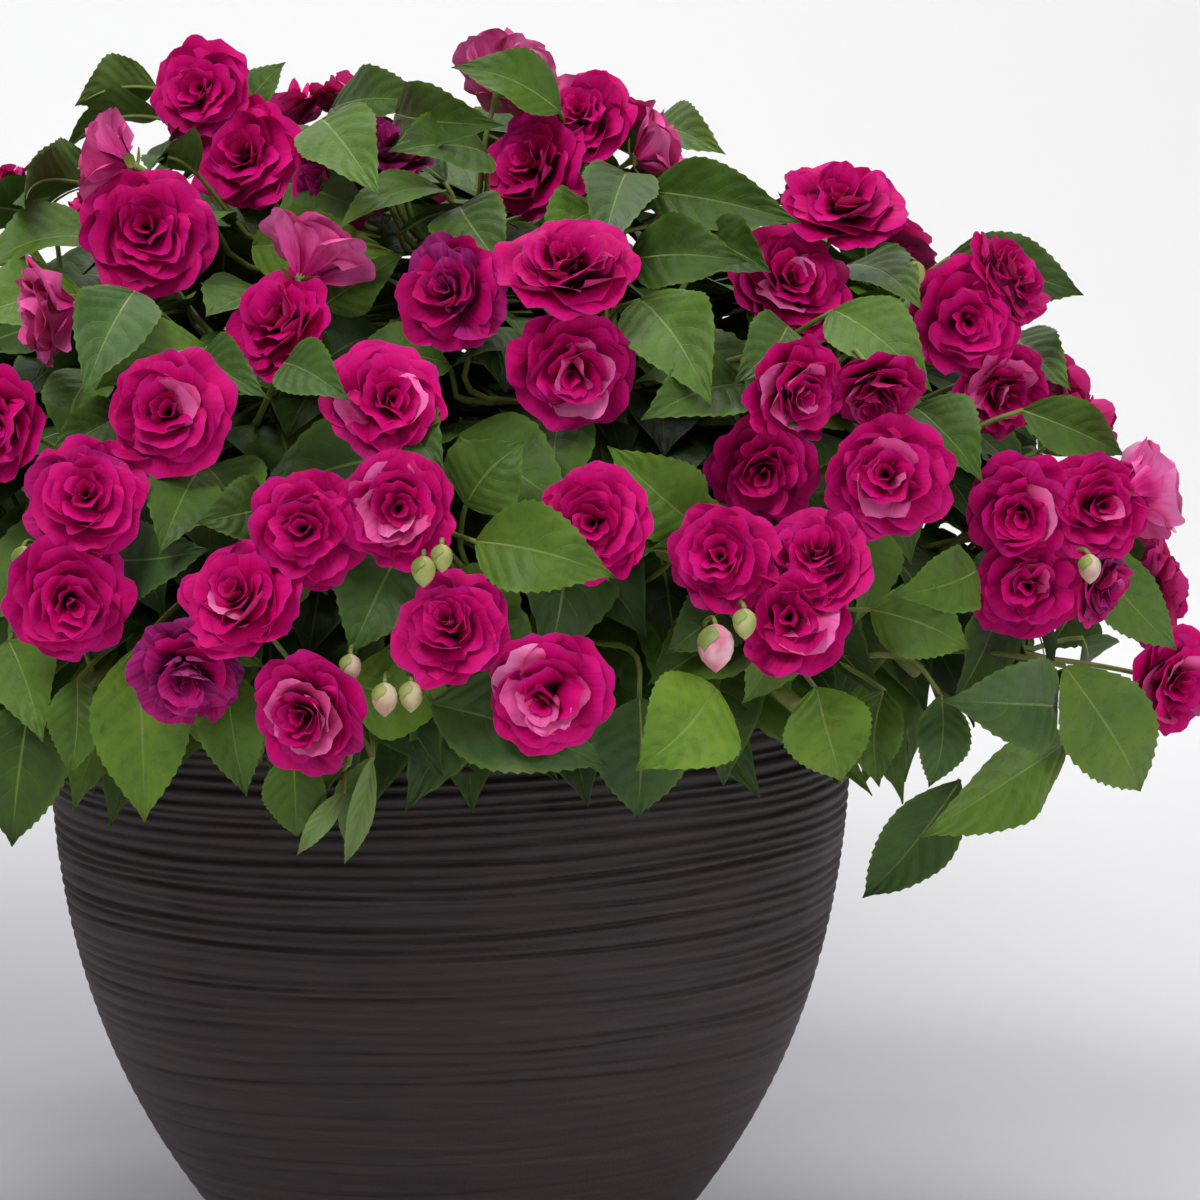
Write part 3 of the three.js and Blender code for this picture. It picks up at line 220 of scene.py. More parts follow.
def all_blooms():
    bunches = []
    for rows in FRONT_BUNCHES:
        depth = sum(mound_seen_at(r[0], r[1], 0).y for r in rows) / len(rows)
        bunches.append([
            {"centre": Vector(sight(across, height, depth - proud)), "diameter": d, "face": facing(right, up)}
            for across, height, d, right, up, proud in rows
        ])
    draw = stream(7)
    for angle, height, count in OTHER_BUNCHES:
        middle = mound_at(angle, height)
        normal = mound_normal(middle)
        right, up = axes_of(normal)
        start = 360 * draw()
        bunch = []
        for i in range(count):
            diameter = 40 + 6 * draw()
            turn = math.radians(start + 360 * i / count + 20 * draw())
            spread = 0 if count == 1 else 20
            centre = middle + right * (spread * math.cos(turn)) + up * (spread * math.sin(turn))
            centre = centre + normal * (4 * draw() - 2)
            face = normal + right * (0.35 * math.cos(turn)) + up * (0.35 * math.sin(turn)) + UP * 0.15
            bunch.append({"centre": centre, "diameter": diameter, "face": face.normalized(), "open": True})
        bunches.append(bunch)
    for bunch in bunches:  # press the blooms of a bunch together
        for i, bloom in enumerate(bunch[1:], 1):
            gap = lambda o: (o["centre"] - bloom["centre"]).length / (o["diameter"] + bloom["diameter"])
            mate = min(bunch[:i], key=gap)
            bloom["centre"] = mate["centre"].lerp(bloom["centre"], min(1, 0.5 * PRESSED / gap(mate)))
    blooms = [bloom for bunch in bunches for bloom in bunch]
    for i, bloom in enumerate(blooms):
        bloom["seed"], bloom["spin"] = 100 + i, (i * 47) % 72
        bloom["right"], bloom["up"] = axes_of(bloom["face"])
        bloom["back"] = bloom["centre"] - bloom["face"] * (BLOOM_BACK * bloom["diameter"] / 2)
    return blooms


def bloom_signature(bloom):
    """The outermost corners of the bloom's solid; the reach of each outer petal is kept in the bloom."""
    draw = stream(bloom["seed"])
    radius = bloom["diameter"] / 2
    corners, bloom["reaches"] = [], []
    for i in range(5):
        reach, lean = 0.94 + 0.12 * draw(), 0.7 + 0.1 * draw()
        for turn, out, rise in (
                (-24, reach, -0.14), (22, reach, 0.04), (36, 0.8, -0.02), (15, lean, 0.3), (57, lean, 0.38)):
            angle = math.radians(72 * i + turn + bloom["spin"])
            corners.append(bloom["centre"] + bloom["right"] * (radius * out * math.cos(angle))
                           + bloom["up"] * (radius * out * math.sin(angle)) + bloom["face"] * (radius * rise))
        bloom["reaches"].append(reach)
        if not bloom.get("open"):
            draw()
    return corners


RING_STEMS = 8
OUTER_CORE = [(253, 152), (262, 192), (285, 212), (312, 204), (338, 184), (360, 152), (376, 132)]  # z, radius
CROWN_CORE = [(300, 66), (330, 76), (356, 88), (376, 100), (394, 92), (408, 56)]


def make_core(compass, half_turn, rows, seed):
    """The places just under the core's facets where stalks can grow, each with its row."""
    draw = stream(seed)
    reach = lambda radius: half_turn - math.degrees(math.asin(CORE_GAP / radius))
    columns = 4
    grid = []
    for j, (z, outer) in enumerate(rows):
        row = []
        for k in range(columns + 1):
            high = (j + k) % 2 == 0
            radius = outer * (1 + (CORE_LUMP if high else -CORE_LUMP) * (0.5 + draw()))
            angle = compass + reach(radius) * (2 * k / columns - 1)
            row.append(place_round(angle, radius, z + 4 * draw() - (CORE_DROOP if high and j > 0 else 0)))
        grid.append(row)
    places = []
    for j in range(len(grid) - 1):
        for k in range(columns):
            a, b, c, d = grid[j][k], grid[j][k + 1], grid[j + 1][k], grid[j + 1][k + 1]
            for facet in ((a, b, c), (b, d, c)) if (j + k) % 2 == 0 else ((a, b, d), (a, d, c)):
                middle = (facet[0] + facet[1] + facet[2]) / 3
                for corner in facet:
                    at = middle.lerp(corner, 0.4)
                    places.append((Vector((at.x * CORE_SINK, at.y * CORE_SINK, at.z)), j))
    return places


def make_stem(compass, axis, shoots):
    spine = [place_round(compass, radius, z) for radius, z in axis]
    runs = [{"points": spine, "radii": [4.6, 4.8, 4.4, 3.8, 2.6]}]
    for start, aside, radius, z in shoots:
        end = place_round(compass + aside, radius, z)
        middle = spine[start].lerp(end, 0.5) + UP * (0.1 * (end - spine[start]).length)
        runs.append({"points": [spine[start], middle, end], "radii": [3.6, 3.4, 3]})
    return runs


def all_stems():
    foot = SOIL_TOP - HOLE_DEPTH
    outer = [(76, foot), (76, 240), (100, 276), (134, 308), (158, 342)]
    crown = [(26, foot), (26, 240), (34, 300), (44, 350), (62, 392)]
    stems = []
    for i in range(RING_STEMS):
        compass = 360 * (i + 0.5) / RING_STEMS
        stems.append({"runs": make_stem(compass, outer, [(2, -14, 214, 240), (2, 13, 218, 234)]),
                      "core": make_core(compass, 180 / RING_STEMS, OUTER_CORE, 40 + i)})
    for compass in (270, 90):
        stems.append({"runs": make_stem(compass, crown, []),
                      "core": make_core(compass, 90, CROWN_CORE, 50 + compass)})
    return stems


def growing_places(stems):
    places = []
    for owner, stem in enumerate(stems):
        spots = list(stem["core"])
        for run in stem["runs"][1:]:
            for start, end in zip(run["points"], run["points"][1:]):
                count = int((end - start).length / PLACE_SPACING)
                spots += [(start.lerp(end, (k + 0.7) / count), None) for k in range(count)]
        places += [{"at": at, "owner": owner, "row": row} for at, row in spots]
    return places


def leaf_frame(foot, tip, outward, spec):
    along = (tip - foot).normalized()
    face = (outward - along * outward.dot(along)).normalized()
    face.rotate(Quaternion(along, math.radians(spec["roll"])))
    return {**spec, "foot": foot, "tip": tip, "along": along, "face": face, "across": face.cross(along)}


def front_leaf(spec, setting):
    across, height, tip_across, tip_height, _, _, foot_lift, tip_lift = spec["entry"]
    foot_move, tip_move, swing = setting
    foot = mound_seen_at(across, height, foot_lift - 6 + foot_move)
    aside = swing if tip_across > across else -swing
    tip = mound_seen_at(tip_across + 0.3 * aside, tip_height + aside, tip_lift + tip_move)
    return leaf_frame(foot, tip, mound_normal(foot.lerp(tip, 0.5)) + UP * 0.25, spec)


def core_leaf(spec, turn, lift):
    foot = spec["root"]["at"]
    normal = mound_normal(foot)
    right, up = axes_of(normal)
    way = math.radians(spec["heading"] + turn)
    aim = foot + right * (spec["reach"] * math.sin(way)) - up * (spec["reach"] * math.cos(way))
    return leaf_frame(foot, to_mound(aim, spec["lift"] + lift), normal + UP * 0.5, spec)


def folds(draw):
    return {"fold": 2 + 3 * draw(), "wave": 0.8 + draw(), "phase": 6 * draw()}


def front_specs():
    draw = stream(21)
    return [{"entry": entry, "width": entry[4], "roll": entry[5], "arch": 3 + 4 * draw(), "droop": 2 * draw(),
             **folds(draw)} for entry in FRONT_LEAVES]


def core_specs(places):
    specs = []
    for i, root in enumerate(place for place in places if place["row"] is not None):
        draw = stream(1000 + i)
        longer, sunk = (8, 26) if root["row"] == 0 else (0, 30)
        specs.append({"root": root, "heading": 90 * (draw() - 0.5), "reach": 40 + 16 * draw() + longer,
                      "lift": 8 * draw() - sunk, "width": 34 + 8 * draw(), "roll": 40 * (draw() - 0.5),
                      "arch": 4 + 5 * draw(), "droop": 4 * draw(), **folds(draw)})
    return specs


# --- which of the solids' choices were taken

def tube_ring(points, index, radius, sides):
    """The corners of one ring of a solid stalk."""
    side = None
    for i in range(index + 1):
        along = (points[min(i + 1, len(points) - 1)] - points[max(i - 1, 0)]).normalized()
        if side is None:
            side = UP if abs(along.z) < 0.9 else EAST
        side = (side - along * side.dot(along)).normalized()
    other = along.cross(side)
    turns = [2 * math.pi * k / sides for k in range(sides)]
    return [points[index] + side * (radius * math.cos(t)) + other * (radius * math.sin(t)) for t in turns]


class Finder:
    """Finds the corners of the solids, and the node that each is in."""

    def __init__(self, names):
        meshes = [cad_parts[name].data for name in names]
        self.owners = [n for n, mesh in enumerate(meshes) for _ in mesh.vertices]
        self.tree = kdtree.KDTree(len(self.owners))
        for i, vertex in enumerate(v for mesh in meshes for v in mesh.vertices):
            self.tree.insert(vertex.co * 1000, i)
        self.tree.balance()

    def owner(self, point):
        """The node with a corner at this point, or None."""
        _, index, gap = self.tree.find(point)
        return self.owners[index] if gap < 0.04 else None


BLOOM_NAMES = sorted(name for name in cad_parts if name.startswith("bloom"))
STEM_NAMES = sorted(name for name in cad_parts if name.startswith("leafy_stem"))
in_blooms, in_stems = Finder(BLOOM_NAMES), Finder(STEM_NAMES)

blooms = all_blooms()
stems = all_stems()
places = growing_places(stems)
for bloom in blooms:
    found = [in_blooms.owner(corner) for corner in bloom_signature(bloom)]
    found = [owner for owner in found if owner is not None]
    bloom["node"] = max(set(found), key=found.count)


def near_places(target, owner=None):
    """Places within a stalk's reach, nearest first."""
    near = sorted(((p["at"] - target).length, i) for i, p in enumerate(places))
    return [places[i] for gap, i in near if gap <= LONGEST_STALK and owner in (None, places[i]["owner"])]


def best_match(options):
    """The option whose corners, in its second place, are nearest to corners of the solids, or None."""
    best, best_gap = None, 0.05
    for option in options:
        gap = max(in_stems.tree.find(corner)[2] for corner in option[1])
        if gap < best_gap:
            best, best_gap = option, gap
    return best


def find_stalk(bloom):
    away = -bloom["face"]
    end = bloom["back"] + away * STALK_GAP

    def options():
        for place in near_places(end):
            root = place["at"]
            for bend in STALK_BENDS:
                route = [root, end]
                if bend:
                    neck = end + away * (0.7 * (root - end).length)
                    route = [root, root.lerp(end, 0.6).lerp(neck, bend), end]
                yield route, tube_ring(route, len(route) - 1, STALK_RADIUS, 3), place["owner"]

    return best_match(options())


BUD_HALF, BUD_TIP = 0.36, 0.55  # a bud's greatest radius and its tip's depth, as shares of its length


def find_bud(entry):
    across, height, length, lift = entry
    hang = Vector((0, -0.3, -1)).normalized()

    def options():
        for proud in (0, 8, 16, -8, 24, -16):
            at = mound_seen_at(across, height, lift + proud)
            if in_stems.tree.find(at + hang * (BUD_TIP * length))[2] > 0.8:
                continue  # no solid bud has its tip there
            for place in near_places(at):
                root = place["at"]
                neck = at - hang * (0.45 * length)
                for bend in (0.3, 0.1, 0.5):
                    middle = root.lerp(neck, 0.6) + UP * (bend * 0.5 * (root - neck).length)
                    route = [root, middle, neck, at, at + hang * (BUD_TIP * length)]
                    yield route, tube_ring(route, 3, BUD_HALF * length, 4), place["owner"]

    return best_match(options())


# Lifts of foot and tip and a swing of the tip, and turns and lifts, in the order the solids try them.
FRONT_SETTINGS = [(0, 0, 0), (5, 5, 0), (-6, -6, 0), (0, 10, 0), (10, 10, 0), (-12, -12, 0), (-10, 6, 0),
                  (16, 16, 0), (4, 20, 0), (-18, -18, 0), (0, 6, 6), (0, 6, -6), (22, 22, 0), (-24, -24, 0),
                  (-8, -8, 10), (-8, -8, -10), (30, 30, 0)]
CORE_SETTINGS = [(0, 0), (25, 0), (-25, 0), (50, 4), (-50, 4), (0, -12), (80, 0), (-80, 0)]


def tip_owner(leaf):
    """The stem that has a corner where this leaf's tip would be, or None."""
    return in_stems.owner(leaf["tip"] - leaf["face"] * leaf["droop"])


def find_front_leaf(spec):
    for setting in FRONT_SETTINGS:
        leaf = front_leaf(spec, setting)
        owner = tip_owner(leaf)
        if owner is None:
            continue
        roots = [place["at"] for place in near_places(leaf["foot"], owner)]
        under = leaf["foot"] - leaf["face"] * 2
        found = best_match((at, [under - (leaf["foot"] - at).normalized() * 1.2]) for at in roots)
        return {**leaf, "owner": owner, "origin": found[0] if found else roots[0]}


def sunk_origin(leaf):
    return leaf["foot"] - mound_normal(leaf["foot"]) * 8


def find_core_leaf(spec):
    for turn, lift in CORE_SETTINGS:
        leaf = core_leaf(spec, turn, lift)
        if tip_owner(leaf) is not None:
            return {**leaf, "owner": spec["root"]["owner"], "origin": sunk_origin(leaf)}
    return None


stalks = [find_stalk(bloom) for bloom in blooms]
buds = [find_bud(entry) for entry in FRONT_BUDS]
front_leaves = [find_front_leaf(spec) for spec in front_specs()]
spares = core_specs(places)
core_leaves = [find_core_leaf(spec) for spec in spares]


# --- meshes

def xyz(vector):
    return np.array(tuple(vector))


def all_xyz(vectors):
    return np.array([tuple(vector) for vector in vectors])


class Surface:
    """Grids of points gathered into one mesh; each point carries some values for the material."""

    def __init__(self, *names):
        self.points, self.faces, self.total = [], [], 0
        self.values = {name: [] for name in names}

    def grid(self, points, closed=False, **values):
        """A sheet over rows of points, or a closed body whose rows are rings and whose ends are capped."""
        rows, columns = points.shape[:2]
        index = np.arange(rows * columns).reshape(rows, columns) + self.total
        if closed:
            index = np.concatenate([index, index[:, :1]], axis=1)
        a, b, c, d = index[:-1, :-1], index[:-1, 1:], index[1:, 1:], index[1:, :-1]
        self.faces.append(np.stack([a, b, c, d] if closed else [a, d, c, b], axis=-1).reshape(-1, 4))
        if closed:
            self.faces += [index[:1, -2::-1], index[-1:, :-1]]
        self.points.append(points.reshape(-1, 3))
        for name, kept in self.values.items():
            kept.append((np.zeros((rows, columns)) + values.get(name, 0)).ravel())
        self.total += rows * columns

    def tube(self, route, radii, sides, **values):
        """A closed tube along a route, with one radius for each point of it."""
        route = all_xyz(route)
        along = np.gradient(route, axis=0)
        along /= np.linalg.norm(along, axis=1)[:, None]
        side = xyz(UP if abs(along[0][2]) < 0.9 else EAST)
        turns = 2 * np.pi * np.arange(sides)[:, None] / sides
        rings = []
        for point, way, radius in zip(route, along, radii):
            side = side - way * side.dot(way)
            side /= np.linalg.norm(side)
            rings.append(point + radius * (np.cos(turns) * side + np.sin(turns) * np.cross(way, side)))
        self.grid(np.array(rings), True, **values)

    def build(self, name, material, slot, *nodes):
        mesh = bpy.data.meshes.new(name)
        points = np.concatenate(self.points) * 0.001
        faces = [face for part in self.faces for face in part.tolist()]
        mesh.from_pydata(points.tolist(), [], faces, shade_flat=False)
        for key, kept in self.values.items():
            mesh.attributes.new(key, "FLOAT", "POINT").data.foreach_set("value", np.concatenate(kept))
        mesh.materials.append(material)
        mesh.validate()
        piece = new_object(name, mesh)
        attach(piece, "root")
        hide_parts(*nodes)


def smooth_route(points, steps):
    """A Catmull-Rom curve through the points, with so many steps between each two."""
    p = all_xyz(points)
    p = np.vstack([2 * p[0] - p[1], p, 2 * p[-1] - p[-2]])
    t = np.linspace(0, 1, steps, endpoint=False)[:, None]
    parts = []
    for a, b, c, d in zip(p, p[1:], p[2:], p[3:]):
        bent = (2 * a - 5 * b + 4 * c - d) * t**2
        parts.append(0.5 * (2 * b + (c - a) * t + bent + (3 * b - a - 3 * c + d) * t**3))
    return np.vstack([*parts, p[-2][None, :]])


def soft_route(points, rounds=2):
    """The points with their corners cut, so that the curve never swings out past them."""
    p = all_xyz(points)
    for _ in range(rounds):
        cut = np.stack([0.75 * p[:-1] + 0.25 * p[1:], 0.25 * p[:-1] + 0.75 * p[1:]], axis=1).reshape(-1, 3)
        p = np.vstack([p[:1], cut[1:-1], p[-1:]])
    return p


def smooth_table(x, table):
    """A smooth curve through a table of (x, y) points."""
    xs, ys = np.array(table, dtype=float).T
    slopes = np.gradient(ys, xs)
    i = np.clip(np.searchsorted(xs, x) - 1, 0, len(xs) - 2)
    h = xs[i + 1] - xs[i]
    t = (x - xs[i]) / h
    return ((2 * t**3 - 3 * t**2 + 1) * ys[i] + (t**3 - 2 * t**2 + t) * h * slopes[i]
            + (3 * t**2 - 2 * t**3) * ys[i + 1] + (t**3 - t**2) * h * slopes[i + 1])


# --- materials

class Wire:
    """A value in a material's node tree; arithmetic on it adds nodes."""

    def __init__(self, nodes, socket):
        self.nodes, self.socket = nodes, socket

    def __add__(self, other):
        return self.nodes.math("ADD", self, other)

    def __sub__(self, other):
        return self.nodes.math("SUBTRACT", self, other)

    def __rsub__(self, other):
        return self.nodes.math("SUBTRACT", other, self)

    def __mul__(self, other):
        return self.nodes.math("MULTIPLY", self, other)

    def __abs__(self):
        return self.nodes.math("ABSOLUTE", self)


class Nodes:
    """Writes a material's node tree in few lines."""

    def __init__(self, name):
        self.material = bpy.data.materials.new(name)
        self.material.use_nodes = True
        self.tree = self.material.node_tree
        self.shader = self.tree.nodes["Principled BSDF"]

    def set(self, socket, value):
        if isinstance(value, Wire):
            self.tree.links.new(value.socket, socket)
        else:
            socket.default_value = value

    def node(self, kind, values=(), out=0, **settings):
        node = self.tree.nodes.new(kind)
        for key, value in settings.items():
            setattr(node, key, value)
        for key, value in dict(values).items():
            self.set(node.inputs[key], value)
        return Wire(self, node.outputs[out])

    def math(self, operation, a, b=0.0, clamp=False):
        return self.node("ShaderNodeMath", {0: a, 1: b}, operation=operation, use_clamp=clamp)

    def value(self, name):
        return self.node("ShaderNodeAttribute", out="Fac", attribute_name=name)

    def spot(self):
        return self.node("ShaderNodeTexCoord", out="Object")

    def back(self):
        return self.node("ShaderNodeNewGeometry", out="Backfacing")

    def mix(self, share, a, b):
        """Colours are given as wires or as (red, green, blue) from 0 to 255."""
        a, b = (rgb(*colour) if isinstance(colour, tuple) else colour for colour in (a, b))
        return self.node("ShaderNodeMix", {0: share, 6: a, 7: b}, out=2, data_type="RGBA")

    def ramp(self, value, low, high, out_low=0.0, out_high=1.0):
        values = {0: value, 1: low, 2: high, 3: out_low, 4: out_high}
        return self.node("ShaderNodeMapRange", values, interpolation_type="SMOOTHSTEP")

    def blend(self, value, a, b, low=0.3, high=0.7):
        return self.mix(self.ramp(value, low, high), a, b)

    def noise(self, vector, scale, detail=2.0, rough=0.5):
        values = {"Vector": vector, "Scale": scale, "Detail": detail, "Roughness": rough}
        return self.node("ShaderNodeTexNoise", values)

    def vector(self, x, y, z):
        return self.node("ShaderNodeCombineXYZ", {0: x, 1: y, 2: z})

    def bump(self, height, strength, distance, **normal):
        values = {"Height": height, "Strength": strength, "Distance": distance, **normal}
        return self.node("ShaderNodeBump", values)

    def finish(self, **values):
        for key, value in values.items():
            self.set(self.shader.inputs[key.replace("_", " ")], value)
        return self.material


def rgb(*colour):
    """A linear colour from the usual 0 to 255 values."""
    return tuple(((v / 255 + 0.055) / 1.055) ** 2.4 if v > 10 else v / 255 / 12.92 for v in colour) + (1,)


def petal_material():
    n = Nodes("petal")
    along, across, tone, paleness = (n.value(name) for name in ("along", "across", "tone", "pale"))
    streak = n.noise(n.vector(across * 7, along * 1.3, tone * 37), 1.0, 3, 0.6)
    patch = n.noise(n.spot(), 90, 3)
    light = (streak + patch + along) * 0.5
    back = n.back()
    edge = n.math("MAXIMUM", n.ramp(abs(across), 0.8, 1.0), n.ramp(along, 0.86, 1.0))
    colour = n.blend(light, (88, 0, 40), (220, 0, 118), 0.45, 1.15)
    colour = n.mix(n.ramp(tone, 0, 1, 0, 0.28), colour, (252, 6, 144))
    # painted shade: each petal darkens toward its base, less on its back, partly the petal's own darker
    # throat and partly shade deep in the bloom
    colour = n.mix(n.ramp(along, 0.12, 0.88, 0.85, 0.0) * (1.0 - back * 0.8), colour, (48, 0, 20))
    colour = n.mix(edge * n.ramp(patch, 0.4, 0.62, 0.0, 0.4), colour, (140, 14, 132))
    colour = n.mix(n.value("purple"), colour, n.blend(streak, (112, 10, 82), (160, 48, 132)))
    pale = n.math("ADD", n.math("ADD", back * 0.16, paleness, clamp=True), edge * 0.035, clamp=True)
    faded = n.blend(light, (252, 40, 154), (255, 138, 206), 0.5, 1.1)
    colour = n.mix(pale * n.ramp(patch, 0.2, 0.6, 0.5, 1.0), colour, faded)
    colour = n.mix(n.ramp(along, 0.7, 1.0) * n.ramp(paleness, 0.7, 1.0) * 0.5, colour, (240, 200, 228))
    fine = n.noise(n.vector(across * 34, along * 3, tone), 1.0, 2, 0.6)
    return n.finish(Base_Color=colour, Roughness=n.ramp(fine, 0.3, 0.7, 0.5, 0.68),
                    Normal=n.bump(fine, 0.3, 0.0006), Specular_IOR_Level=0.1,
                    Sheen_Weight=0.05, Sheen_Roughness=0.4, Sheen_Tint=(1.0, 0.2, 0.7, 1))


VEINS, VEIN_SLANT, VEIN_BEND = 7.0, 0.27, 1.3  # on each side of a leaf, and how they run on from the midrib


def leaf_material():
    n = Nodes("leaf")
    along, spot, wide = n.value("along"), n.spot(), abs(n.value("across"))
    course = along + (n.noise(spot, 60, 1) * 0.06 - 0.03) - n.math("POWER", wide, VEIN_BEND) * VEIN_SLANT
    beat = abs(n.math("FRACT", course * VEINS) - 0.5)
    vein = n.ramp(beat, 0.455, 0.5) * n.ramp(wide, 0.85, 0.3)
    rib = n.ramp(wide, 0.045, 0.012) * n.ramp(along, 1.0, 0.6, 0.3, 1.0)
    mottle = n.noise(spot, 55, 3, 0.6)
    green = n.blend(mottle * 0.5 + n.value("tone") * 0.75, (34, 55, 14), (90, 124, 36), 0.25, 1.1)
    green = n.mix(n.value("lime"), green, n.blend(mottle, (100, 140, 32), (124, 156, 40)))
    green = n.mix(n.value("blue"), green, n.blend(mottle, (44, 72, 38), (58, 86, 46)))
    green = n.mix(n.ramp(wide, 0.8, 1.0, 0.0, 0.3), green, (104, 138, 40))
    green = n.mix(n.ramp(n.noise(spot, 260, 3, 0.6), 0.5, 0.75) * 0.35, green, (46, 72, 20))
    green = n.mix(vein * 0.13, green, (140, 166, 88))
    green = n.mix(rib * 0.38, green, (146, 170, 92))
    green = n.mix(n.back() * 0.4 + n.value("pale"), green, (122, 146, 84))
    relief = n.noise(spot, 190, 2, 0.6) * 0.9 - n.ramp(beat, 0.0, 0.5) * 0.6 - vein * 0.7 - rib
    net = abs(n.noise(spot, 330, 0) - 0.5) * 2.4 + n.noise(spot, 700, 0)
    normal = n.bump(net, 0.22, 0.0004, Normal=n.bump(relief, 0.4, 0.0006))
    return n.finish(Base_Color=green, Roughness=n.ramp(mottle, 0.3, 0.7, 0.46, 0.62), Normal=normal,
                    Specular_IOR_Level=0.3)


def stalk_material():
    n = Nodes("stalk")
    spot = n.spot()
    patch = n.noise(spot, 70, 3)
    colour = n.blend(patch, (82, 106, 34), (122, 140, 58))
    colour = n.mix(n.value("tone"), colour, n.blend(patch, (104, 84, 42), (128, 106, 58)))
    colour = n.mix(n.value("pale"), colour, n.blend(patch, (142, 158, 70), (190, 196, 122)))
    colour = n.mix(n.value("pink"), colour, n.blend(patch, (218, 74, 142), (246, 200, 216), 0.35, 0.65))
    return n.finish(Base_Color=colour, Roughness=n.ramp(patch, 0.3, 0.7, 0.4, 0.55),
                    Normal=n.bump(n.noise(spot, 500, 1), 0.25, 0.0004), Specular_IOR_Level=0.4)


def pot_material():
    n = Nodes("pot")
    spot = n.spot()
    cloud = n.noise(spot, 14, 4, 0.6)
    brushed = n.noise(n.node("ShaderNodeMapping", {"Vector": spot, "Scale": (14, 14, 330)}), 1.0, 4, 0.7)
    colour = n.blend(cloud, (46, 38, 39), (58, 48, 49))
    colour = n.mix(n.ramp(brushed, 0.45, 0.75, 0.0, 0.5), colour, (77, 65, 66))
    # painted shade in the grooves: the lower a point lies between two ridges, the darker it is painted
    colour = n.mix(n.ramp(n.value("crest"), 0.1, 0.9, 0.6, 0.0), colour, (22, 18, 18))
    colour = n.mix(n.ramp(n.noise(spot, 40, 4, 0.7), 0.52, 0.75) * 0.35, colour, (68, 47, 46))
    normal = n.bump(brushed * 1.6 + n.noise(spot, 900, 2), 0.4, 0.0006)
    return n.finish(Base_Color=colour, Roughness=n.ramp(cloud, 0.3, 0.7, 0.55, 0.7), Normal=normal,
                    Specular_IOR_Level=0.35)


def soil_material():
    n = Nodes("soil")
    spot = n.spot()
    crumbs = n.node("ShaderNodeTexVoronoi", {"Vector": spot, "Scale": 260.0}, out="Distance")
    colour = n.blend(n.noise(spot, 160, 4, 0.7), (34, 24, 18), (72, 54, 40))
    return n.finish(Base_Color=colour, Roughness=n.ramp(crumbs, 0, 0.6, 0.85, 0.98),
                    Normal=n.bump(crumbs, 0.8, 0.002), Specular_IOR_Level=0.2)


PETAL, LEAF, STALK = petal_material(), leaf_material(), stalk_material()
POT, SOIL = pot_material(), soil_material()

# --- blooms

# Each layer of petals, from the outside in, as shares of the bloom's radius: how many, the base's radius
# and height, the tip's radius and height, how the petal turns outwards from base to tip, half its width,
# how closely it wraps round the middle, its ruffle, how far the layer is turned, its disorder, and its rows
# and columns.
LAYERS = [
    (5, 0.06, -0.40, 1.00, -0.06, (50, 98), 0.70, 1.60, 0.075, 0, 0.3, 10, 17),
    (5, 0.06, -0.38, 0.83, 0.08, (38, 92), 0.60, 1.10, 0.085, 36, 0.6, 10, 15),
    (4, 0.05, -0.34, 0.64, 0.25, (24, 80), 0.52, 0.70, 0.090, 20, 1.0, 10, 13),
    (4, 0.05, -0.30, 0.47, 0.37, (10, 58), 0.42, 0.50, 0.085, 62, 1.2, 9, 13),
    (3, 0.04, -0.24, 0.31, 0.44, (4, 42), 0.31, 0.24, 0.060, 15, 0.9, 8, 11),
    (3, 0.03, -0.16, 0.15, 0.42, (0, 30), 0.20, 0.06, 0.030, 70, 0.3, 7, 9),
]
# The photo's own blooms come first, and some of them, by their number, are special.
FRONT = sum(len(rows) for rows in FRONT_BUNCHES)
AWAY = {2: 0.5, 4: 0.6, 6: 0.7, 12: 0.95, 15: 0.8, 30: 1.0}  # seen from behind, and how pale
PALE = {24: 0.4, 39: 0.45, 17: 0.3, 28: 0.2, 31: 0.2, 37: 0.25, 42: 0.3, 26: 0.3, 46: 0.2, 8: 0.12, 18: 0.2,
        44: 0.1}  # the share of pale petals
PURPLE = {10: 0.7, 11: 0.6, 18: 0.45, 32: 0.6, 38: 0.8}  # the share of purple petals
ROSEBUDS = {3, 37, 41, 34, 24, 39, 33, 23}  # orderly, not yet blown
DARK = {23, 25, 27}


def petal_rim(rng, u):
    """How far the petal reaches across its width: round corners, a notch and small waves."""
    rim = 1 - rng.uniform(0.16, 0.3) * np.abs(u) ** 2.4 - 0.24 * np.abs(u) ** 9
    rim = rim - rng.uniform(0.0, 0.12) * np.exp(-((u - rng.uniform(-0.35, 0.35)) ** 2) / 0.025)
    rim = rim + 0.028 * np.sin(rng.uniform(5, 8) * u + rng.uniform(0, 6))
    return rim + 0.010 * np.sin(14 * u + rng.uniform(0, 6))


def petal_midline(rng, share, turns, far, high):
    """The midline's way out and up and its lean, integrated from its turns and fitted to the tip's place."""
    first, last = turns
    t = np.linspace(0, 1.06, 40)
    turn = np.radians(first + (last - first + rng.uniform(-12, 14)) * t**1.3)
    run = lambda way: np.concatenate([[0], np.cumsum((way[1:] + way[:-1]) / 2 * np.diff(t))])
    out, rise = run(np.sin(turn)), run(np.cos(turn))
    length = math.hypot(far, high) / math.hypot(out[-3], rise[-3]) * rng.uniform(0.94, 1.05)
    tilt = math.atan2(far, high) - math.atan2(out[-3], rise[-3])
    out, rise = out * math.cos(tilt) + rise * math.sin(tilt), rise * math.cos(tilt) - out * math.sin(tilt)
    lean = np.interp(share, t, turn + tilt)
    return length * np.interp(share, t, out), length * np.interp(share, t, rise), lean


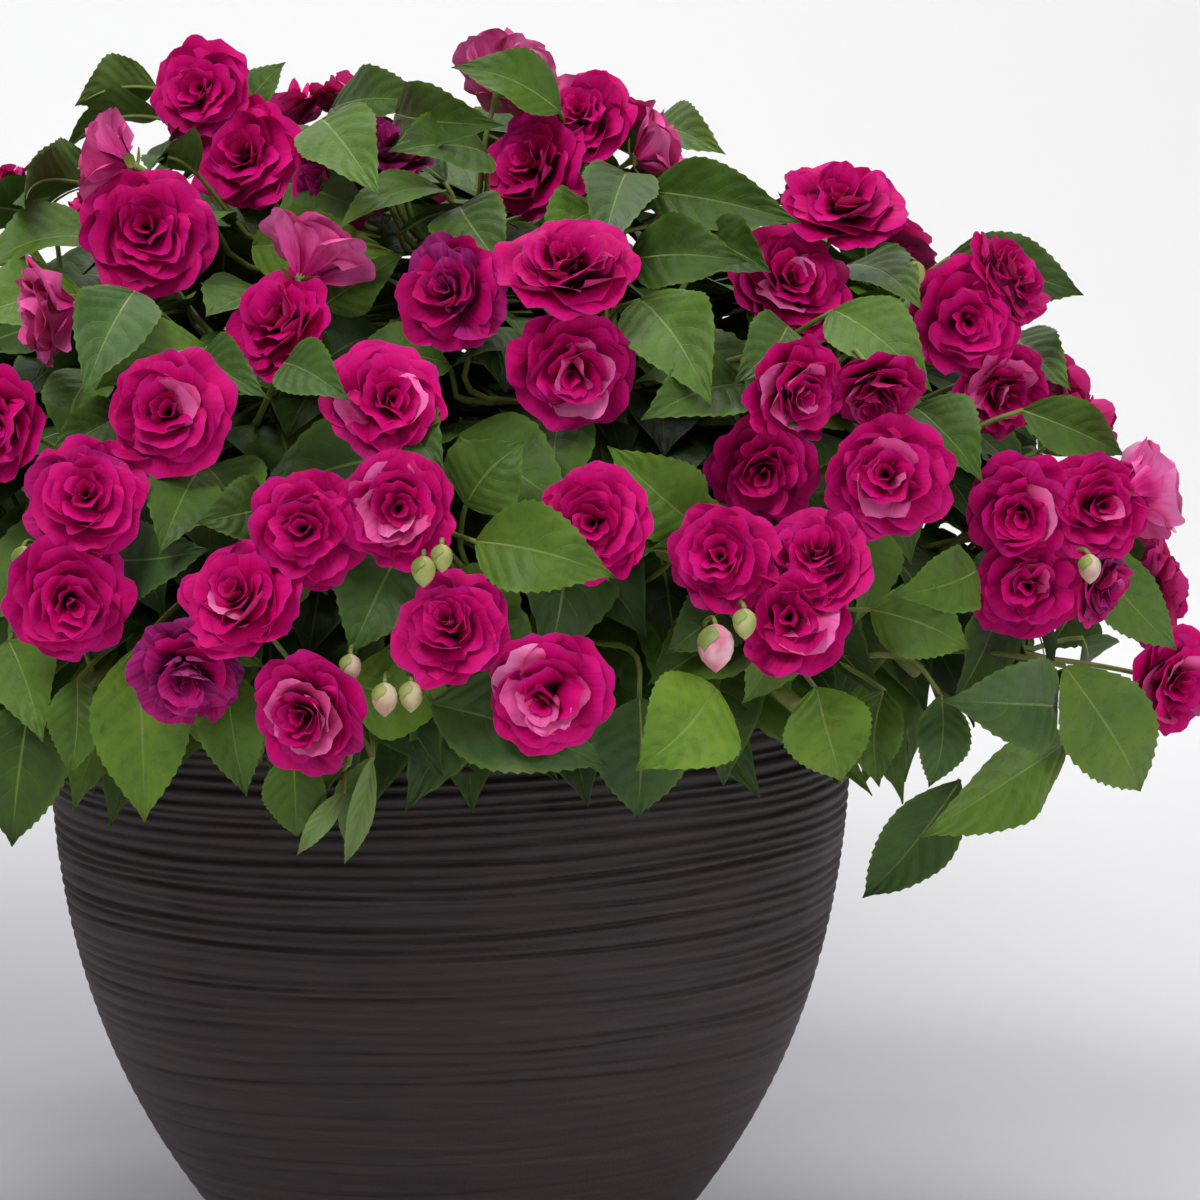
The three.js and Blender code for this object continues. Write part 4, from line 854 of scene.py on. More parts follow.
def add_petal(surface, bloom, layer, azimuth, rng, reach, calm, shift, cup, values):
    """One ruffled petal: its midline swings outwards, its width wraps round the bloom's axis."""
    _, base_out, base_up, tip_out, tip_up, turns, half, wrap, ruffle, _, loose, rows, columns = layer
    radius = bloom["diameter"] / 2
    loose, wrap = loose * calm, wrap * (0.4 + 0.6 * calm)
    tip_up += cup + rng.uniform(-0.10, 0.09) * loose
    swirl, crease, twist = rng.uniform(-0.28, 0.28, 3) * loose
    u = np.linspace(-1, 1, columns)[None, :]
    u = np.sin(1.35 * u) / math.sin(1.35)
    v = np.linspace(0, 1, rows)[:, None] ** 0.85
    share = v * petal_rim(rng, u)
    out, rise, lean = petal_midline(rng, share, turns, tip_out * reach - base_out, tip_up - base_up)
    rho, height = base_out + out, base_up + rise
    spread = np.sin(np.pi / 2 * np.minimum(1, share / 0.7)) ** 1.2
    width = half * rng.uniform(0.9, 1.1) * (0.16 + 0.84 * spread)
    x = u * width + swirl * v**2 * tip_out
    bend = np.maximum(rho, 0.02) + wrap
    aside, inward = bend * np.sin(x / bend), bend * (1 - np.cos(x / bend))
    edge = np.abs(u) ** 3 * v + v**3 * (0.45 + 0.55 * np.abs(u))
    waves = np.sin(rng.uniform(2.2, 5.0) * u + rng.uniform(0, 6) + 1.5 * v)
    waves = waves + 0.35 * np.sin(8 * u + rng.uniform(0, 6) - 2 * v)
    waves = waves + 0.5 * np.sin(6 * v + rng.uniform(0, 6)) * u
    inward = inward + ruffle * waves * edge - rng.uniform(-0.05, 0.10) * np.abs(u) ** 3 * v**2
    inward = inward + crease * (0.5 - np.abs(u - 0.8 * crease)) * v * half * 1.6 + twist * u * v**1.5 * half
    inward = inward + 0.02 * np.sin(3 * u + rng.uniform(0, 6)) * v
    a = math.radians(azimuth)
    radial, axial = rho - np.cos(lean) * inward, height + np.sin(lean) * inward
    px = radial * math.cos(a) - aside * math.sin(a) + shift[0] * v
    py = radial * math.sin(a) + aside * math.cos(a) + shift[1] * v
    right, up, face, centre = (xyz(bloom[key]) for key in ("right", "up", "face", "centre"))
    points = centre + radius * (px[..., None] * right + py[..., None] * up + axial[..., None] * face)
    surface.grid(points, along=v, across=u, **values)


def add_bloom(surface, index, bloom):
    rng = np.random.default_rng(500 + index)
    tone = 0.0 if index in DARK else rng.uniform(0.1, 0.9)
    rosebud = index in ROSEBUDS or (index >= FRONT and rng.uniform() < 0.3)
    calm = 0.3 if rosebud else rng.uniform(0.8, 1.3)
    shift = rng.uniform(-0.15, 0.15, 2)
    cup = 0.3 if index in AWAY else rng.uniform(-0.04, 0.06)
    for depth, layer in enumerate(LAYERS):
        count, turned, loose = layer[0], layer[9], layer[10]
        for i in range(count):
            azimuth = bloom["spin"] + turned + 360 * i / count + rng.uniform(-16, 16) * loose
            reach = bloom["reaches"][i] if depth == 0 else 1 + rng.uniform(-0.18, 0.14) * loose * calm
            pale = purple = 0.0
            if index in AWAY:
                pale = rng.uniform(0.5, 1.0) * AWAY[index]
            elif 0 < depth < 5 and rng.uniform() < PALE.get(index, 0.03) * (0.4 if depth == 1 else 1):
                pale = rng.uniform(0.4, 0.85)
            if index in PURPLE and rng.uniform() < PURPLE[index]:
                purple = rng.uniform(0.4, 0.9)
            elif depth < 2 and rng.uniform() < 0.06:
                purple = 0.3
            values = {"tone": np.clip(tone + rng.uniform(-0.2, 0.2), 0, 1),
                      "pale": pale * rng.uniform(0.8, 1), "purple": purple}
            add_petal(surface, bloom, layer, azimuth, rng, reach, calm, shift * max(0, depth - 1) / 4,
                      cup * (1 - depth / 5), values)


for number, name in enumerate(BLOOM_NAMES):
    surface = Surface("along", "across", "tone", "pale", "purple")
    for index, bloom in enumerate(blooms):
        if bloom["node"] == number:
            add_bloom(surface, index, bloom)
    surface.build(f"petals_{number + 1:02d}", PETAL, "petals", name)

# --- leaves

LEAF_OUTLINE = [(0, 0.10), (0.05, 0.36), (0.14, 0.68), (0.27, 0.94), (0.4, 1.0), (0.55, 0.88), (0.7, 0.64),
                (0.82, 0.38), (0.91, 0.17), (1, 0.012)]
FINE, MIDDLING, SMALL = (46, 6, 15), (32, 4, 10), (12, 3, 0)  # rows, columns on a side, teeth on a side
# Front leaves by their foot: how yellow, and which are bluish.
LIME = {(-119, 233): 0.5, (101, 218): 0.7, (139, 218): 0.5, (234, 226): 0.4, (235, 197): 0.4, (10, 274): 0.2,
        (94, 280): 0.2, (160, 248): 0.2, (-138, 368): 0.2, (-2, 407): 0.25}
BLUE = {(67, 414), (-119, 369), (-129, 267), (-20, 269), (231, 211), (187, 215), (72, 214), (-7, 212),
        (194, 182), (109, 252), (128, 356), (-62, 342), (-93, 346)}


def on_leaf(leaf, share, aside, above):
    """Points of the leaf at shares of its length, and so far aside of its midline and above it."""
    foot, tip, across, face = (xyz(leaf[key]) for key in ("foot", "tip", "across", "face"))
    return foot + (tip - foot) * share[..., None] + across * aside[..., None] + face * above[..., None]


def add_leaf(surface, leaf, grade, rng, **values):
    """The blade; returns the points of its midline."""
    rows, sides, teeth = grade
    share = np.linspace(0, 1, rows + 1)
    u = np.linspace(-1, 1, 2 * sides + 1)
    u = np.sign(u) * np.abs(u) ** 0.85
    outline = smooth_table(share, LEAF_OUTLINE)
    half = leaf["width"] / 2
    s = np.repeat(share[:, None], len(u), axis=1)
    w = outline[:, None] * u
    if teeth:
        beat = (share * teeth * 1.02) % 1.0
        saw = np.where(beat < 0.72, beat / 0.72, (1 - beat) / 0.28) * np.clip(outline * 3, 0, 1)
        saw *= 0.06 * rng.uniform(0.6, 1.1)
        w[:, 0] -= saw - 0.02
        w[:, -1] += saw - 0.02
        s[:, [0, -1]] += (0.12 * saw * (share < 0.97))[:, None]
    wide = np.abs(u)
    rise = leaf["arch"] * 4 * s * (1 - s) - leaf["droop"] * s * s + leaf["fold"] * np.abs(w)
    rise += leaf["wave"] * np.sin(leaf["phase"] + 9 * s) * w * w
    quilt = np.abs(np.sin(np.pi * VEINS * (s - VEIN_SLANT * wide**VEIN_BEND)))
    rise += half * 0.045 * (quilt - 0.6) * np.clip(wide * 4, 0, 1) * (1 - wide**4)
    rise -= half * 0.03 * (wide < 0.05)
    rise += half * 0.06 * np.sin(15 * s + rng.uniform(0, 6)) * wide**3 * outline[:, None]
    rise -= half * rng.uniform(-0.1, 0.25) * s**4
    sway = rng.uniform(-1.0, 1.0) * 2.0 * np.sin(np.pi * s)
    points = on_leaf(leaf, s, half * w + sway, rise)
    surface.grid(points, along=s, across=u, **values)
    return points[:, sides]


def shoot_parts(owner):
    return [part for run in stems[owner]["runs"] for part in zip(run["points"], run["points"][1:])]


SHOOT_FOOT = SOIL_TOP + 6  # nothing branches off below this height


def nearest_shoot(point, owner):
    """The place on this stem's shoots that a stalk's root grows out to."""
    options = []
    for start, end in shoot_parts(owner):
        way = end - start
        at = start.lerp(end, min(1, max(0, (point - start).dot(way) / way.length_squared)))
        if at.z > SHOOT_FOOT:
            options.append(((at - point).length + 0.3 * max(0, at.z - point.z), at))
    return min(options, key=lambda option: option[0])[1]


def clear_shoot(point, owner):
    """A place on this stem's shoots with no bloom between it and the point."""
    options = []
    for start, end in shoot_parts(owner):
        for at in (start.lerp(end, share) for share in (0.15, 0.4, 0.65, 0.9)):
            way = point - at
            cost = way.length
            for bloom in blooms:
                gap = bloom["centre"] - at
                along = min(1, max(0, gap.dot(way) / way.length_squared))
                cost += 12 * max(0, 0.55 * bloom["diameter"] - (gap - way * along).length)
            if at.z > SHOOT_FOOT:
                options.append((cost, at))
    return min(options, key=lambda option: option[0])[1]


def add_petiole(surface, leaf, rng, grade):
    """The leaf's stalk, from its shoot to the blade."""
    root = leaf["origin"]
    inner = nearest_shoot(root, leaf["owner"])
    foot = leaf["foot"] - leaf["face"] * 0.5
    bend = root.lerp(foot, 0.72) - leaf["along"] * (0.05 * (foot - root).length) - leaf["face"] * 1.2
    if (root - inner).dot(foot - root) < 0:
        root = inner.lerp(bend, 0.5)
    small = grade is SMALL
    route = soft_route([inner, root, foot], 1) if small else soft_route([inner, root, bend, foot])
    thick, thin, sides = (1.3, 0.8, 4) if small else (1.4, 0.9, 6)
    surface.tube(route, np.linspace(thick, thin, len(route)), sides, tone=np.clip(rng.normal(0.2, 0.3), 0, 1))


def add_midrib(surface, line, leaf):
    steps = line[::4][:-1] - xyz(leaf["face"]) * 0.55  # just under the blade
    surface.tube(steps, np.linspace(0.95, 0.22, len(steps)), 5, tone=0.12, pale=0.35)


# More leaves of the front, written like the solids' leaves.
MORE_LEAVES = [
    (-95, 414, -114, 417, 24, 20, -6, 2), (-97, 428, -107, 417, 20, 30, -8, 0),
    (-20, 436, 20, 432, 26, 40, -10, 2), (-60, 410, -28, 398, 28, 30, -10, 0),
    (58, 400, 34, 386, 24, 20, -8, 0), (96, 388, 122, 376, 24, 30, -8, 0),
    (-30, 191, -41, 149, 9, 0, 4, 12), (-41, 178, -59, 153, 8, 0, 6, 14),
    (-22, 330, -2, 300, 26, 10, -8, 0), (-96, 300, -110, 270, 26, 0, -14, -4),
    (6, 288, 28, 312, 30, 0, -16, -8), (150, 330, 128, 318, 24, 10, -10, 0),
]
NEARER = {(42, 437): 54, (-20, 436): 24, (189, 382): 30}  # how much nearer to the eye these hang
SLENDER = {(-39, 189), (-30, 191)}
STEEP = 45  # leaves with this roll or more, in degrees, keep it
LITTLE, FAR = 34, 70  # how far the others are turned to the eye, in degrees; the nearer ones further
CROWN_LEAVES = 60  # candidates for the top of the mound
FILLERS, UNDER_LEAVES = 140, 330
LOW_FIRST = 34  # so many of the fillers grow round the foot of the mound
FORWARD = -0.2  # a leaf's stalk may fold back under its blade this much, as a cosine
BLOOM_FRAMES = [(xyz(bloom["centre"]), xyz(bloom["face"]), bloom["diameter"] / 2) for bloom in blooms]


def clear_of_blooms(leaf, own=None):
    """Whether the blade keeps out of the blooms; it may lie closer behind its own."""
    s, w = np.meshgrid(np.linspace(0, 1, 9), (-0.5, 0.0, 0.5))
    reach = np.interp(s, (0, 0.15, 0.4, 0.7, 1), (0.2, 0.7, 1, 0.64, 0.02))
    points = on_leaf(leaf, s, leaf["width"] * w * reach, leaf["arch"] * 4 * s * (1 - s))
    for i, (centre, way, radius) in enumerate(BLOOM_FRAMES):
        gap = points - centre
        up = gap @ way
        out = np.linalg.norm(gap - up[..., None] * way, axis=-1)
        low = (-0.18 if i == own else -0.4) * radius + 0.28 * np.maximum(0, out - 0.5 * radius)
        if ((out < 0.97 * radius) & (up > low) & (up < 0.5 * radius)).any():
            return False
    return True


def runs_forward(leaf):
    return (leaf["foot"] - leaf["origin"]).normalized().dot(leaf["along"]) > FORWARD


def turned_to_eye(leaf, most=LITTLE):
    """The leaf rolled about its midline, by so many degrees at most, to show more of its face."""
    view = (Vector(EYE) - leaf["foot"].lerp(leaf["tip"], 0.5)).normalized()
    best = view - leaf["along"] * view.dot(leaf["along"])
    if best.length < 0.2 or (leaf["face"].dot(best) < 0 and most < FAR):
        return leaf
    angle = leaf["face"].angle(best.normalized())
    turn = leaf["face"].cross(best).normalized()
    leaf["face"].rotate(Quaternion(turn, min(0.75 * angle, math.radians(most))))
    leaf["across"] = leaf["face"].cross(leaf["along"])
    return leaf


def leaf_numbers(rng, **ranges):
    """A leaf's measures, each drawn at random from its range, and then its fold and waves."""
    ranges = {**ranges, "fold": (2, 5), "wave": (0.8, 1.8), "phase": (0, 6)}
    return {key: rng.uniform(low, high) for key, (low, high) in ranges.items()}


grown = []


def grow(leaf, grade, rng, tone, lime=0, blue=0, pale=0):
    grown.append((leaf, grade, rng, {"tone": tone, "lime": lime, "blue": blue, "pale": pale}))


def rooted(leaf, place):
    leaf["owner"], leaf["origin"] = place["owner"], place["at"]
    return leaf


for i, leaf in enumerate(front_leaves):
    key, roll = leaf["entry"][:2], leaf["entry"][5]
    rng = np.random.default_rng(2000 + i)
    for end in ("foot", "tip"):
        leaf[end] = leaf[end] + (Vector(EYE) - leaf[end]).normalized() * NEARER.get(key, 0)
    if key in SLENDER:
        leaf["width"] *= 0.5
    elif roll < STEEP:
        turned_to_eye(leaf, FAR if key in NEARER else LITTLE)
    tone, blue = rng.uniform(0.35, 0.9), 0.6 * (key in BLUE)
    grow(leaf, FINE, rng, tone, LIME.get(key, 0), blue, 0.3 * (key in SLENDER))
for i, entry in enumerate(MORE_LEAVES):
    rng = np.random.default_rng(2500 + i)
    spec = {"entry": entry, "width": entry[4], "roll": entry[5]}
    spec.update(leaf_numbers(rng, arch=(3, 7), droop=(0, 2)))
    lift = NEARER.get(entry[:2], 0)
    leaf = turned_to_eye(front_leaf(spec, (lift, lift, 0)))
    rooted(leaf, near_places(leaf["foot"])[0])
    grow(leaf, MIDDLING, rng, rng.uniform(0.2, 0.7), 0, 0.4 * (rng.uniform() < 0.3), 0.8 * (entry[4] < 10))
for i, leaf in enumerate(core_leaves):
    if leaf is not None:
        rng = np.random.default_rng(3000 + i)
        tone, lime = rng.uniform(0.25, 0.8), 0.35 * (rng.uniform() < 0.15)
        grow(leaf, MIDDLING, rng, tone, lime, 0.5 * (rng.uniform() < 0.2))

# At most two leaves grow under each bloom of the sides and the back, and one behind each of the front.
for index, bloom in enumerate(blooms):
    behind = 14 if index < FRONT else 0
    for side in range(1 if index < FRONT else 2):
        rng = np.random.default_rng(6000 + 2 * index + side)
        normal = mound_normal(bloom["centre"])
        right, up = axes_of(normal)
        first = 200 * side + rng.uniform(-50, 50) + 37 * index
        for attempt in range(12):
            turn = math.radians(first + (-1) ** attempt * 14 * attempt)
            way = right * math.cos(turn) + up * math.sin(turn)
            foot = bloom["back"] - normal * (rng.uniform(9, 15) + behind + attempt) + way * 5
            aim = bloom["centre"] + way * rng.uniform(42, 54) - UP * 8
            tip = to_mound(aim, -rng.uniform(8, 22) - behind - attempt)
            spec = leaf_numbers(rng, width=(27, 33), roll=(-20, 20), arch=(4, 9), droop=(0, 4))
            leaf = rooted(leaf_frame(foot, tip, normal + UP * 0.3, spec), near_places(foot)[0])
            if clear_of_blooms(leaf, index) and runs_forward(leaf):
                grow(leaf, MIDDLING, rng, rng.uniform(0.3, 0.85), 0.3 * (rng.uniform() < 0.15))
                break

# More leaves fill the mound, each where it is barest, and small ones lie under them, painted darker as shade
# of the mound's inside.
candidates = []
for i, (spec, taken) in enumerate(zip(spares, core_leaves)):
    if taken is None:
        leaf = core_leaf(spec, 0, -6)
        leaf["owner"], leaf["origin"] = spec["root"]["owner"], sunk_origin(leaf)
        if runs_forward(leaf) and clear_of_blooms(leaf):
            candidates.append((i, leaf))
for k in range(CROWN_LEAVES):
    rng = np.random.default_rng(4000 + k)
    turn, out = 2.4 * k, 14 * math.sqrt(k)
    at = to_mound(Vector((out * math.cos(turn), 0.9 * out * math.sin(turn), 420)), -rng.uniform(20, 30))
    spec = leaf_numbers(rng, heading=(-60, 60), reach=(40, 52), lift=(10, 26), width=(28, 34), roll=(-20, 20),
                        arch=(4, 9), droop=(0, 4))
    leaf = core_leaf({**spec, "lift": -spec["lift"], "root": {"at": at, "row": None}}, 0, 0)
    if clear_of_blooms(rooted(leaf, near_places(at)[0])):
        candidates.append((1000 + k, leaf))
middle_of = lambda leaf: xyz(leaf["foot"].lerp(leaf["tip"], 0.5))
middles = np.array([middle_of(leaf) for _, leaf in candidates])
room = np.full(len(candidates), 1e9)
for point in [xyz(bloom["centre"]) for bloom in blooms] + [middle_of(leaf) for leaf, _, _, _ in grown]:
    room = np.minimum(room, np.linalg.norm(middles - point, axis=1))
low = np.array([leaf["root"]["row"] == 0 for _, leaf in candidates])
for count in range(FILLERS + UNDER_LEAVES):
    best = int(np.argmax(room + np.where(low & (count < LOW_FIRST), 500, 0)))
    i, leaf = candidates[best]
    rng = np.random.default_rng(5000 + i)
    under = count >= FILLERS
    if under:
        for key in ("foot", "tip"):
            p = leaf[key]
            leaf[key] = Vector((p.x * 0.94, p.y * 0.94, HEART + (p.z - HEART) * 0.92))
    # painted shade: the under leaves take a darker tone, for the shade inside the mound
    tone = rng.uniform(0.1, 0.5) if under else rng.uniform(0.15, 0.7)
    grow(leaf, SMALL if under else MIDDLING, rng, tone, 0, 0.4 * (rng.uniform() < 0.25))
    room = np.minimum(room, np.linalg.norm(middles - middles[best], axis=1))
    room[best] = -1e9

leaf_surfaces = [Surface("along", "across", "tone", "lime", "blue", "pale") for _ in stems]
stem_surfaces = [Surface("tone", "pale", "pink") for _ in stems]
for leaf, grade, rng, values in grown:
    line = add_leaf(leaf_surfaces[leaf["owner"]], leaf, grade, rng, **values)
    add_petiole(stem_surfaces[leaf["owner"]], leaf, rng, grade)
    if grade is not SMALL:
        add_midrib(stem_surfaces[leaf["owner"]], line, leaf)

# --- stems, flower stalks and buds

for surface, stem in zip(stem_surfaces, stems):
    for i, run in enumerate(stem["runs"]):
        route = smooth_route(run["points"], 6)
        steps = np.linspace(0, len(run["radii"]) - 1, len(route))
        radii = np.interp(steps, range(len(run["radii"])), run["radii"])
        joints = 1 + 0.12 * np.exp(-(((steps % 1) - 0.5) ** 2) / 0.01)
        surface.tube(route, radii * joints, 12, tone=0.35 if i == 0 else 0.25)


def add_sepal(surface, bloom, turn):
    way = bloom["right"] * math.cos(turn) + bloom["up"] * math.sin(turn)
    t = np.linspace(0, 1, 6)[:, None, None]
    u = np.linspace(-1, 1, 5)[None, :, None]
    half = 2.6 * np.sin(np.pi * np.clip(t * 0.92 + 0.06, 0, 1)) ** 0.8
    lift = -0.5 + 2.2 * t**1.5 - 0.5 * u**2
    points = xyz(bloom["back"]) + (1.2 + 7.5 * t) * xyz(way) + half * u * xyz(bloom["face"].cross(way))
    surface.grid(points + lift * xyz(bloom["face"]), tone=0.05, pale=0.55)


for index, (bloom, found) in enumerate(zip(blooms, stalks)):
    rng = np.random.default_rng(7000 + index)
    back, face, radius = bloom["back"], bloom["face"], bloom["diameter"] / 2
    if found is None:
        near = near_places(back)[0]
        found = ([near["at"], back - face * STALK_GAP], None, near["owner"])
    route, _, owner = found
    surface = stem_surfaces[owner]
    line = soft_route([nearest_shoot(route[0], owner), *route[:-1], back - face * 2, back])
    radii = [*np.linspace(1.25, 0.95, len(line) - 4), 1.0, 1.2, 1.6, 2.1]
    surface.tube(line, radii, 7, tone=np.clip(rng.normal(0.3, 0.25), 0, 1), pale=0.15)
    receptacle = [back - face * 0.4, back + face * (0.06 * radius), back + face * (0.14 * radius)]
    surface.tube(receptacle, [2.1, 2.6, 1.6], 8, tone=0.1, pale=0.5)
    for k in range(3):
        add_sepal(surface, bloom, math.radians(bloom["spin"] + 120 * k + rng.uniform(-15, 15)))

# Along the bud's axis and out from it, as shares of its length and of its greatest radius; and the pink ones.
BUD_SHAPE = [(-0.45, 0.12), (-0.4, 0.46), (-0.28, 0.84), (-0.1, 1.02), (0.1, 1.0), (0.28, 0.8), (0.41, 0.48),
             (0.49, 0.2), (0.54, 0.03)]
PINK_BUDS = {(101, 234): 0.85, (243, 264): 0.5, (-25, 214): 0.4, (-38, 226): 0.45, (-15, 215): 0.25}


def add_bract(surface, at, hang, length, way):
    """A narrow green scale that clasps the bud's upper half."""
    t = np.linspace(0, 1, 7)[:, None, None]
    u = np.linspace(-1, 1, 5)[None, :, None]
    shape = np.interp(-0.45 + 0.6 * t, *zip(*BUD_SHAPE)) * BUD_HALF * length + 0.35
    spread = 0.9 * np.sin(np.pi * np.clip(t + 0.08, 0, 1)) * u
    points = xyz(at) + (-0.45 + 0.6 * t) * length * xyz(hang) + shape * np.cos(spread) * xyz(way)
    surface.grid(points + shape * np.sin(spread) * xyz(hang.cross(way)), tone=0.05, pale=0.45)


for entry, (route, _, owner) in zip(FRONT_BUDS, buds):
    surface = stem_surfaces[owner]
    length, neck, at = entry[2], route[2], route[3]
    hang = (route[4] - at).normalized()
    deep = neck - mound_normal(neck) * 15 + (neck - Vector(EYE)).normalized() * 14
    inner = clear_shoot(deep, owner)
    line = soft_route([inner, inner.lerp(deep, 0.7), deep, neck.lerp(deep, 0.2) + UP * 3, neck])
    surface.tube(line, np.linspace(1.1, 0.8, len(line)), 7, tone=0.1, pale=0.2)
    body = [at + hang * (share * length) for share, _ in BUD_SHAPE]
    radii = [BUD_HALF * length * out for _, out in BUD_SHAPE]
    surface.tube(body, radii, 14, pale=1, pink=PINK_BUDS.get(entry[:2], 0.06))
    right, up = axes_of(hang)
    for turn in (math.radians(40), math.radians(220)):
        add_bract(surface, at, hang, length, right * math.cos(turn) + up * math.sin(turn))

for owner, name in enumerate(STEM_NAMES):
    leaf_surfaces[owner].build(f"leaves_{owner + 1:02d}", LEAF, "foliage", name)
    stem_surfaces[owner].build(f"stalks_{owner + 1:02d}", STALK, "foliage", name)

# --- pot and soil

pot_radius = lambda z: RIM_RADIUS - POT_DRAW_IN * ((POT_HEIGHT - z) / POT_HEIGHT) ** 3
full_turn = lambda sides: 2 * np.pi * np.arange(sides)[None, :] / sides
RIDGE_HEIGHT, RIDGE_SLOPE, RIDGES_START = 2.7, 0.03, 3


def rings(table, theta):
    """Level rings of points from a table of (radius, height)."""
    return np.array([[(r * math.cos(t), r * math.sin(t), h) for t in theta[0]] for r, h in table])


def wander(theta, z, rng, waves):
    """A slow irregular wave over the pot's wall."""
    total = 0 * theta + 0 * z
    for _ in range(waves):
        k = rng.integers(1, 7)
        total = total + np.sin(k * theta + rng.uniform(0.01, 0.07) * z + rng.uniform(0, 6.3)) / (1 + 0.3 * k)
    return total / math.sqrt(waves)


def wavy_rows(rng, theta, count, most):
    """A row of one wave for each groove, with a random count of periods."""
    periods = rng.integers(1, most, count)[:, None]
    return np.sin(periods * theta + rng.uniform(0, 6.3, count)[:, None])


def build_pot():
    rng = np.random.default_rng(11)
    theta = full_turn(160)
    ridge_top = POT_HEIGHT - RIM_BAND
    z = np.linspace(RIDGES_START, ridge_top, 330)[:, None]
    # each groove wanders round the pot for itself, so that the ridges between widen, narrow and run together
    level, grooves = -8.0, []
    while level < ridge_top + 12:
        grooves.append(level)
        level += rng.uniform(3.0, 5.6)
    count = len(grooves)
    grooves = np.array(grooves)[:, None]
    paths = grooves + RIDGE_SLOPE * RIM_RADIUS * np.cos(theta) + 1.8 * wander(theta, grooves, rng, 4)
    for _ in range(3):
        paths = paths + 0.42 * wavy_rows(rng, theta, count, 8)
    paths = np.sort(paths, axis=0)
    depths = rng.uniform(0.45, 1.0, count)[:, None] * (1 + 0.35 * wavy_rows(rng, theta, count, 5))
    phase = np.stack([np.interp(z[:, 0], path, np.arange(count)) for path in paths.T], axis=1)
    wide = np.stack([np.interp(z[:, 0], path[:-1], np.diff(path)) for path in paths.T], axis=1)
    near = np.clip(np.round(phase).astype(int), 0, count - 1)
    depth = np.take_along_axis(depths, near, axis=0) * np.clip(wide / 3.2, 0.25, 1.15)
    crest = 1 - depth * (1 - np.abs(np.sin(np.pi * phase)) ** 0.75)
    strength = np.clip(0.45 + 0.55 * (z - 60) / 100, 0.45, 1) * (0.9 + 0.2 * wander(theta, z, rng, 4))
    ends = np.clip((ridge_top - z) / 2.5, 0, 1) * np.clip((z - RIDGES_START) / 5, 0, 1)
    wall = pot_radius(z) + (RIDGE_HEIGHT * strength * (crest - 0.6)) * ends
    wall = np.stack([wall * np.cos(theta), wall * np.sin(theta), z + 0 * theta], axis=-1)
    # the rim band's profile, out from the rim's radius and up from the ridges, or down from the top
    band = [(RIM_RADIUS + out, ridge_top + up) for out, up in ((-0.2, 1.2), (0.8, 2.2), (1.1, 3.4), (1.1, 7))]
    band += [(RIM_RADIUS + out, POT_HEIGHT - down) for out, down in (
        (1.1, 2.2), (0.7, 1.0), (-0.2, 0.3), (-1.2, 0), (-5.6, 0), (-6.6, 0.4), (-7, 1.4))]
    levels = (235, 215, 190, 160, 130, 100, 70, 45, 25, POT_FLOOR + 2)
    inside = [(pot_radius(h) - POT_WALL, h) for h in levels] + [(r, POT_FLOOR) for r in (60, 30, 1)]
    base = [(1, 0), (40, 0), (pot_radius(0) - 2.5, 0), (pot_radius(0) - 0.8, 0.5), (pot_radius(1) - 0.1, 1.6)]
    points = np.concatenate([rings(base, theta), wall, rings(band + inside, theta)])
    # how high each point sits on its ridge, which the material turns into painted shade in the grooves
    crest_for_groove_shade = np.ones(points.shape[:2])
    crest_for_groove_shade[len(base):len(base) + len(wall)] = 1 - (1 - crest) * strength * ends
    surface = Surface("crest")
    surface.grid(points, True, crest=crest_for_groove_shade)
    surface.build("ridged_pot", POT, "pot", "pot")


def build_soil():
    rng = np.random.default_rng(12)
    theta = full_turn(96)
    r = np.linspace(1, pot_radius(SOIL_TOP) - POT_WALL - 2.2, 44)[::-1][:, None]
    x, y = r * np.cos(theta), r * np.sin(theta)
    z = SOIL_TOP - 1.5 + 0 * x
    for _ in range(26):
        k, way = rng.uniform(0.05, 0.7), rng.uniform(0, 2 * np.pi)
        z = z + 0.35 * np.sin(k * (x * np.cos(way) + y * np.sin(way)) + rng.uniform(0, 6)) / (0.5 + k)
    z = np.minimum(z + rng.normal(0, 0.35, z.shape), SOIL_TOP + 2)
    side = [(pot_radius(h) - POT_WALL - 4, h) for h in (POT_FLOOR + 1, 60, 120, 180, 215)]
    surface = Surface()
    surface.grid(np.concatenate([rings(side, theta), np.stack([x, y, z], axis=-1)]), True)
    surface.build("soil", SOIL, "potting_soil", "potting_soil")


build_pot()
build_soil()

# --- stage, lights and camera

FLOOR_FRONT, FLOOR_END, SWEEP_RADIUS, WALL_TOP, HALF_WIDE = -3.6, 2.3, 0.9, 4.5, 4.5


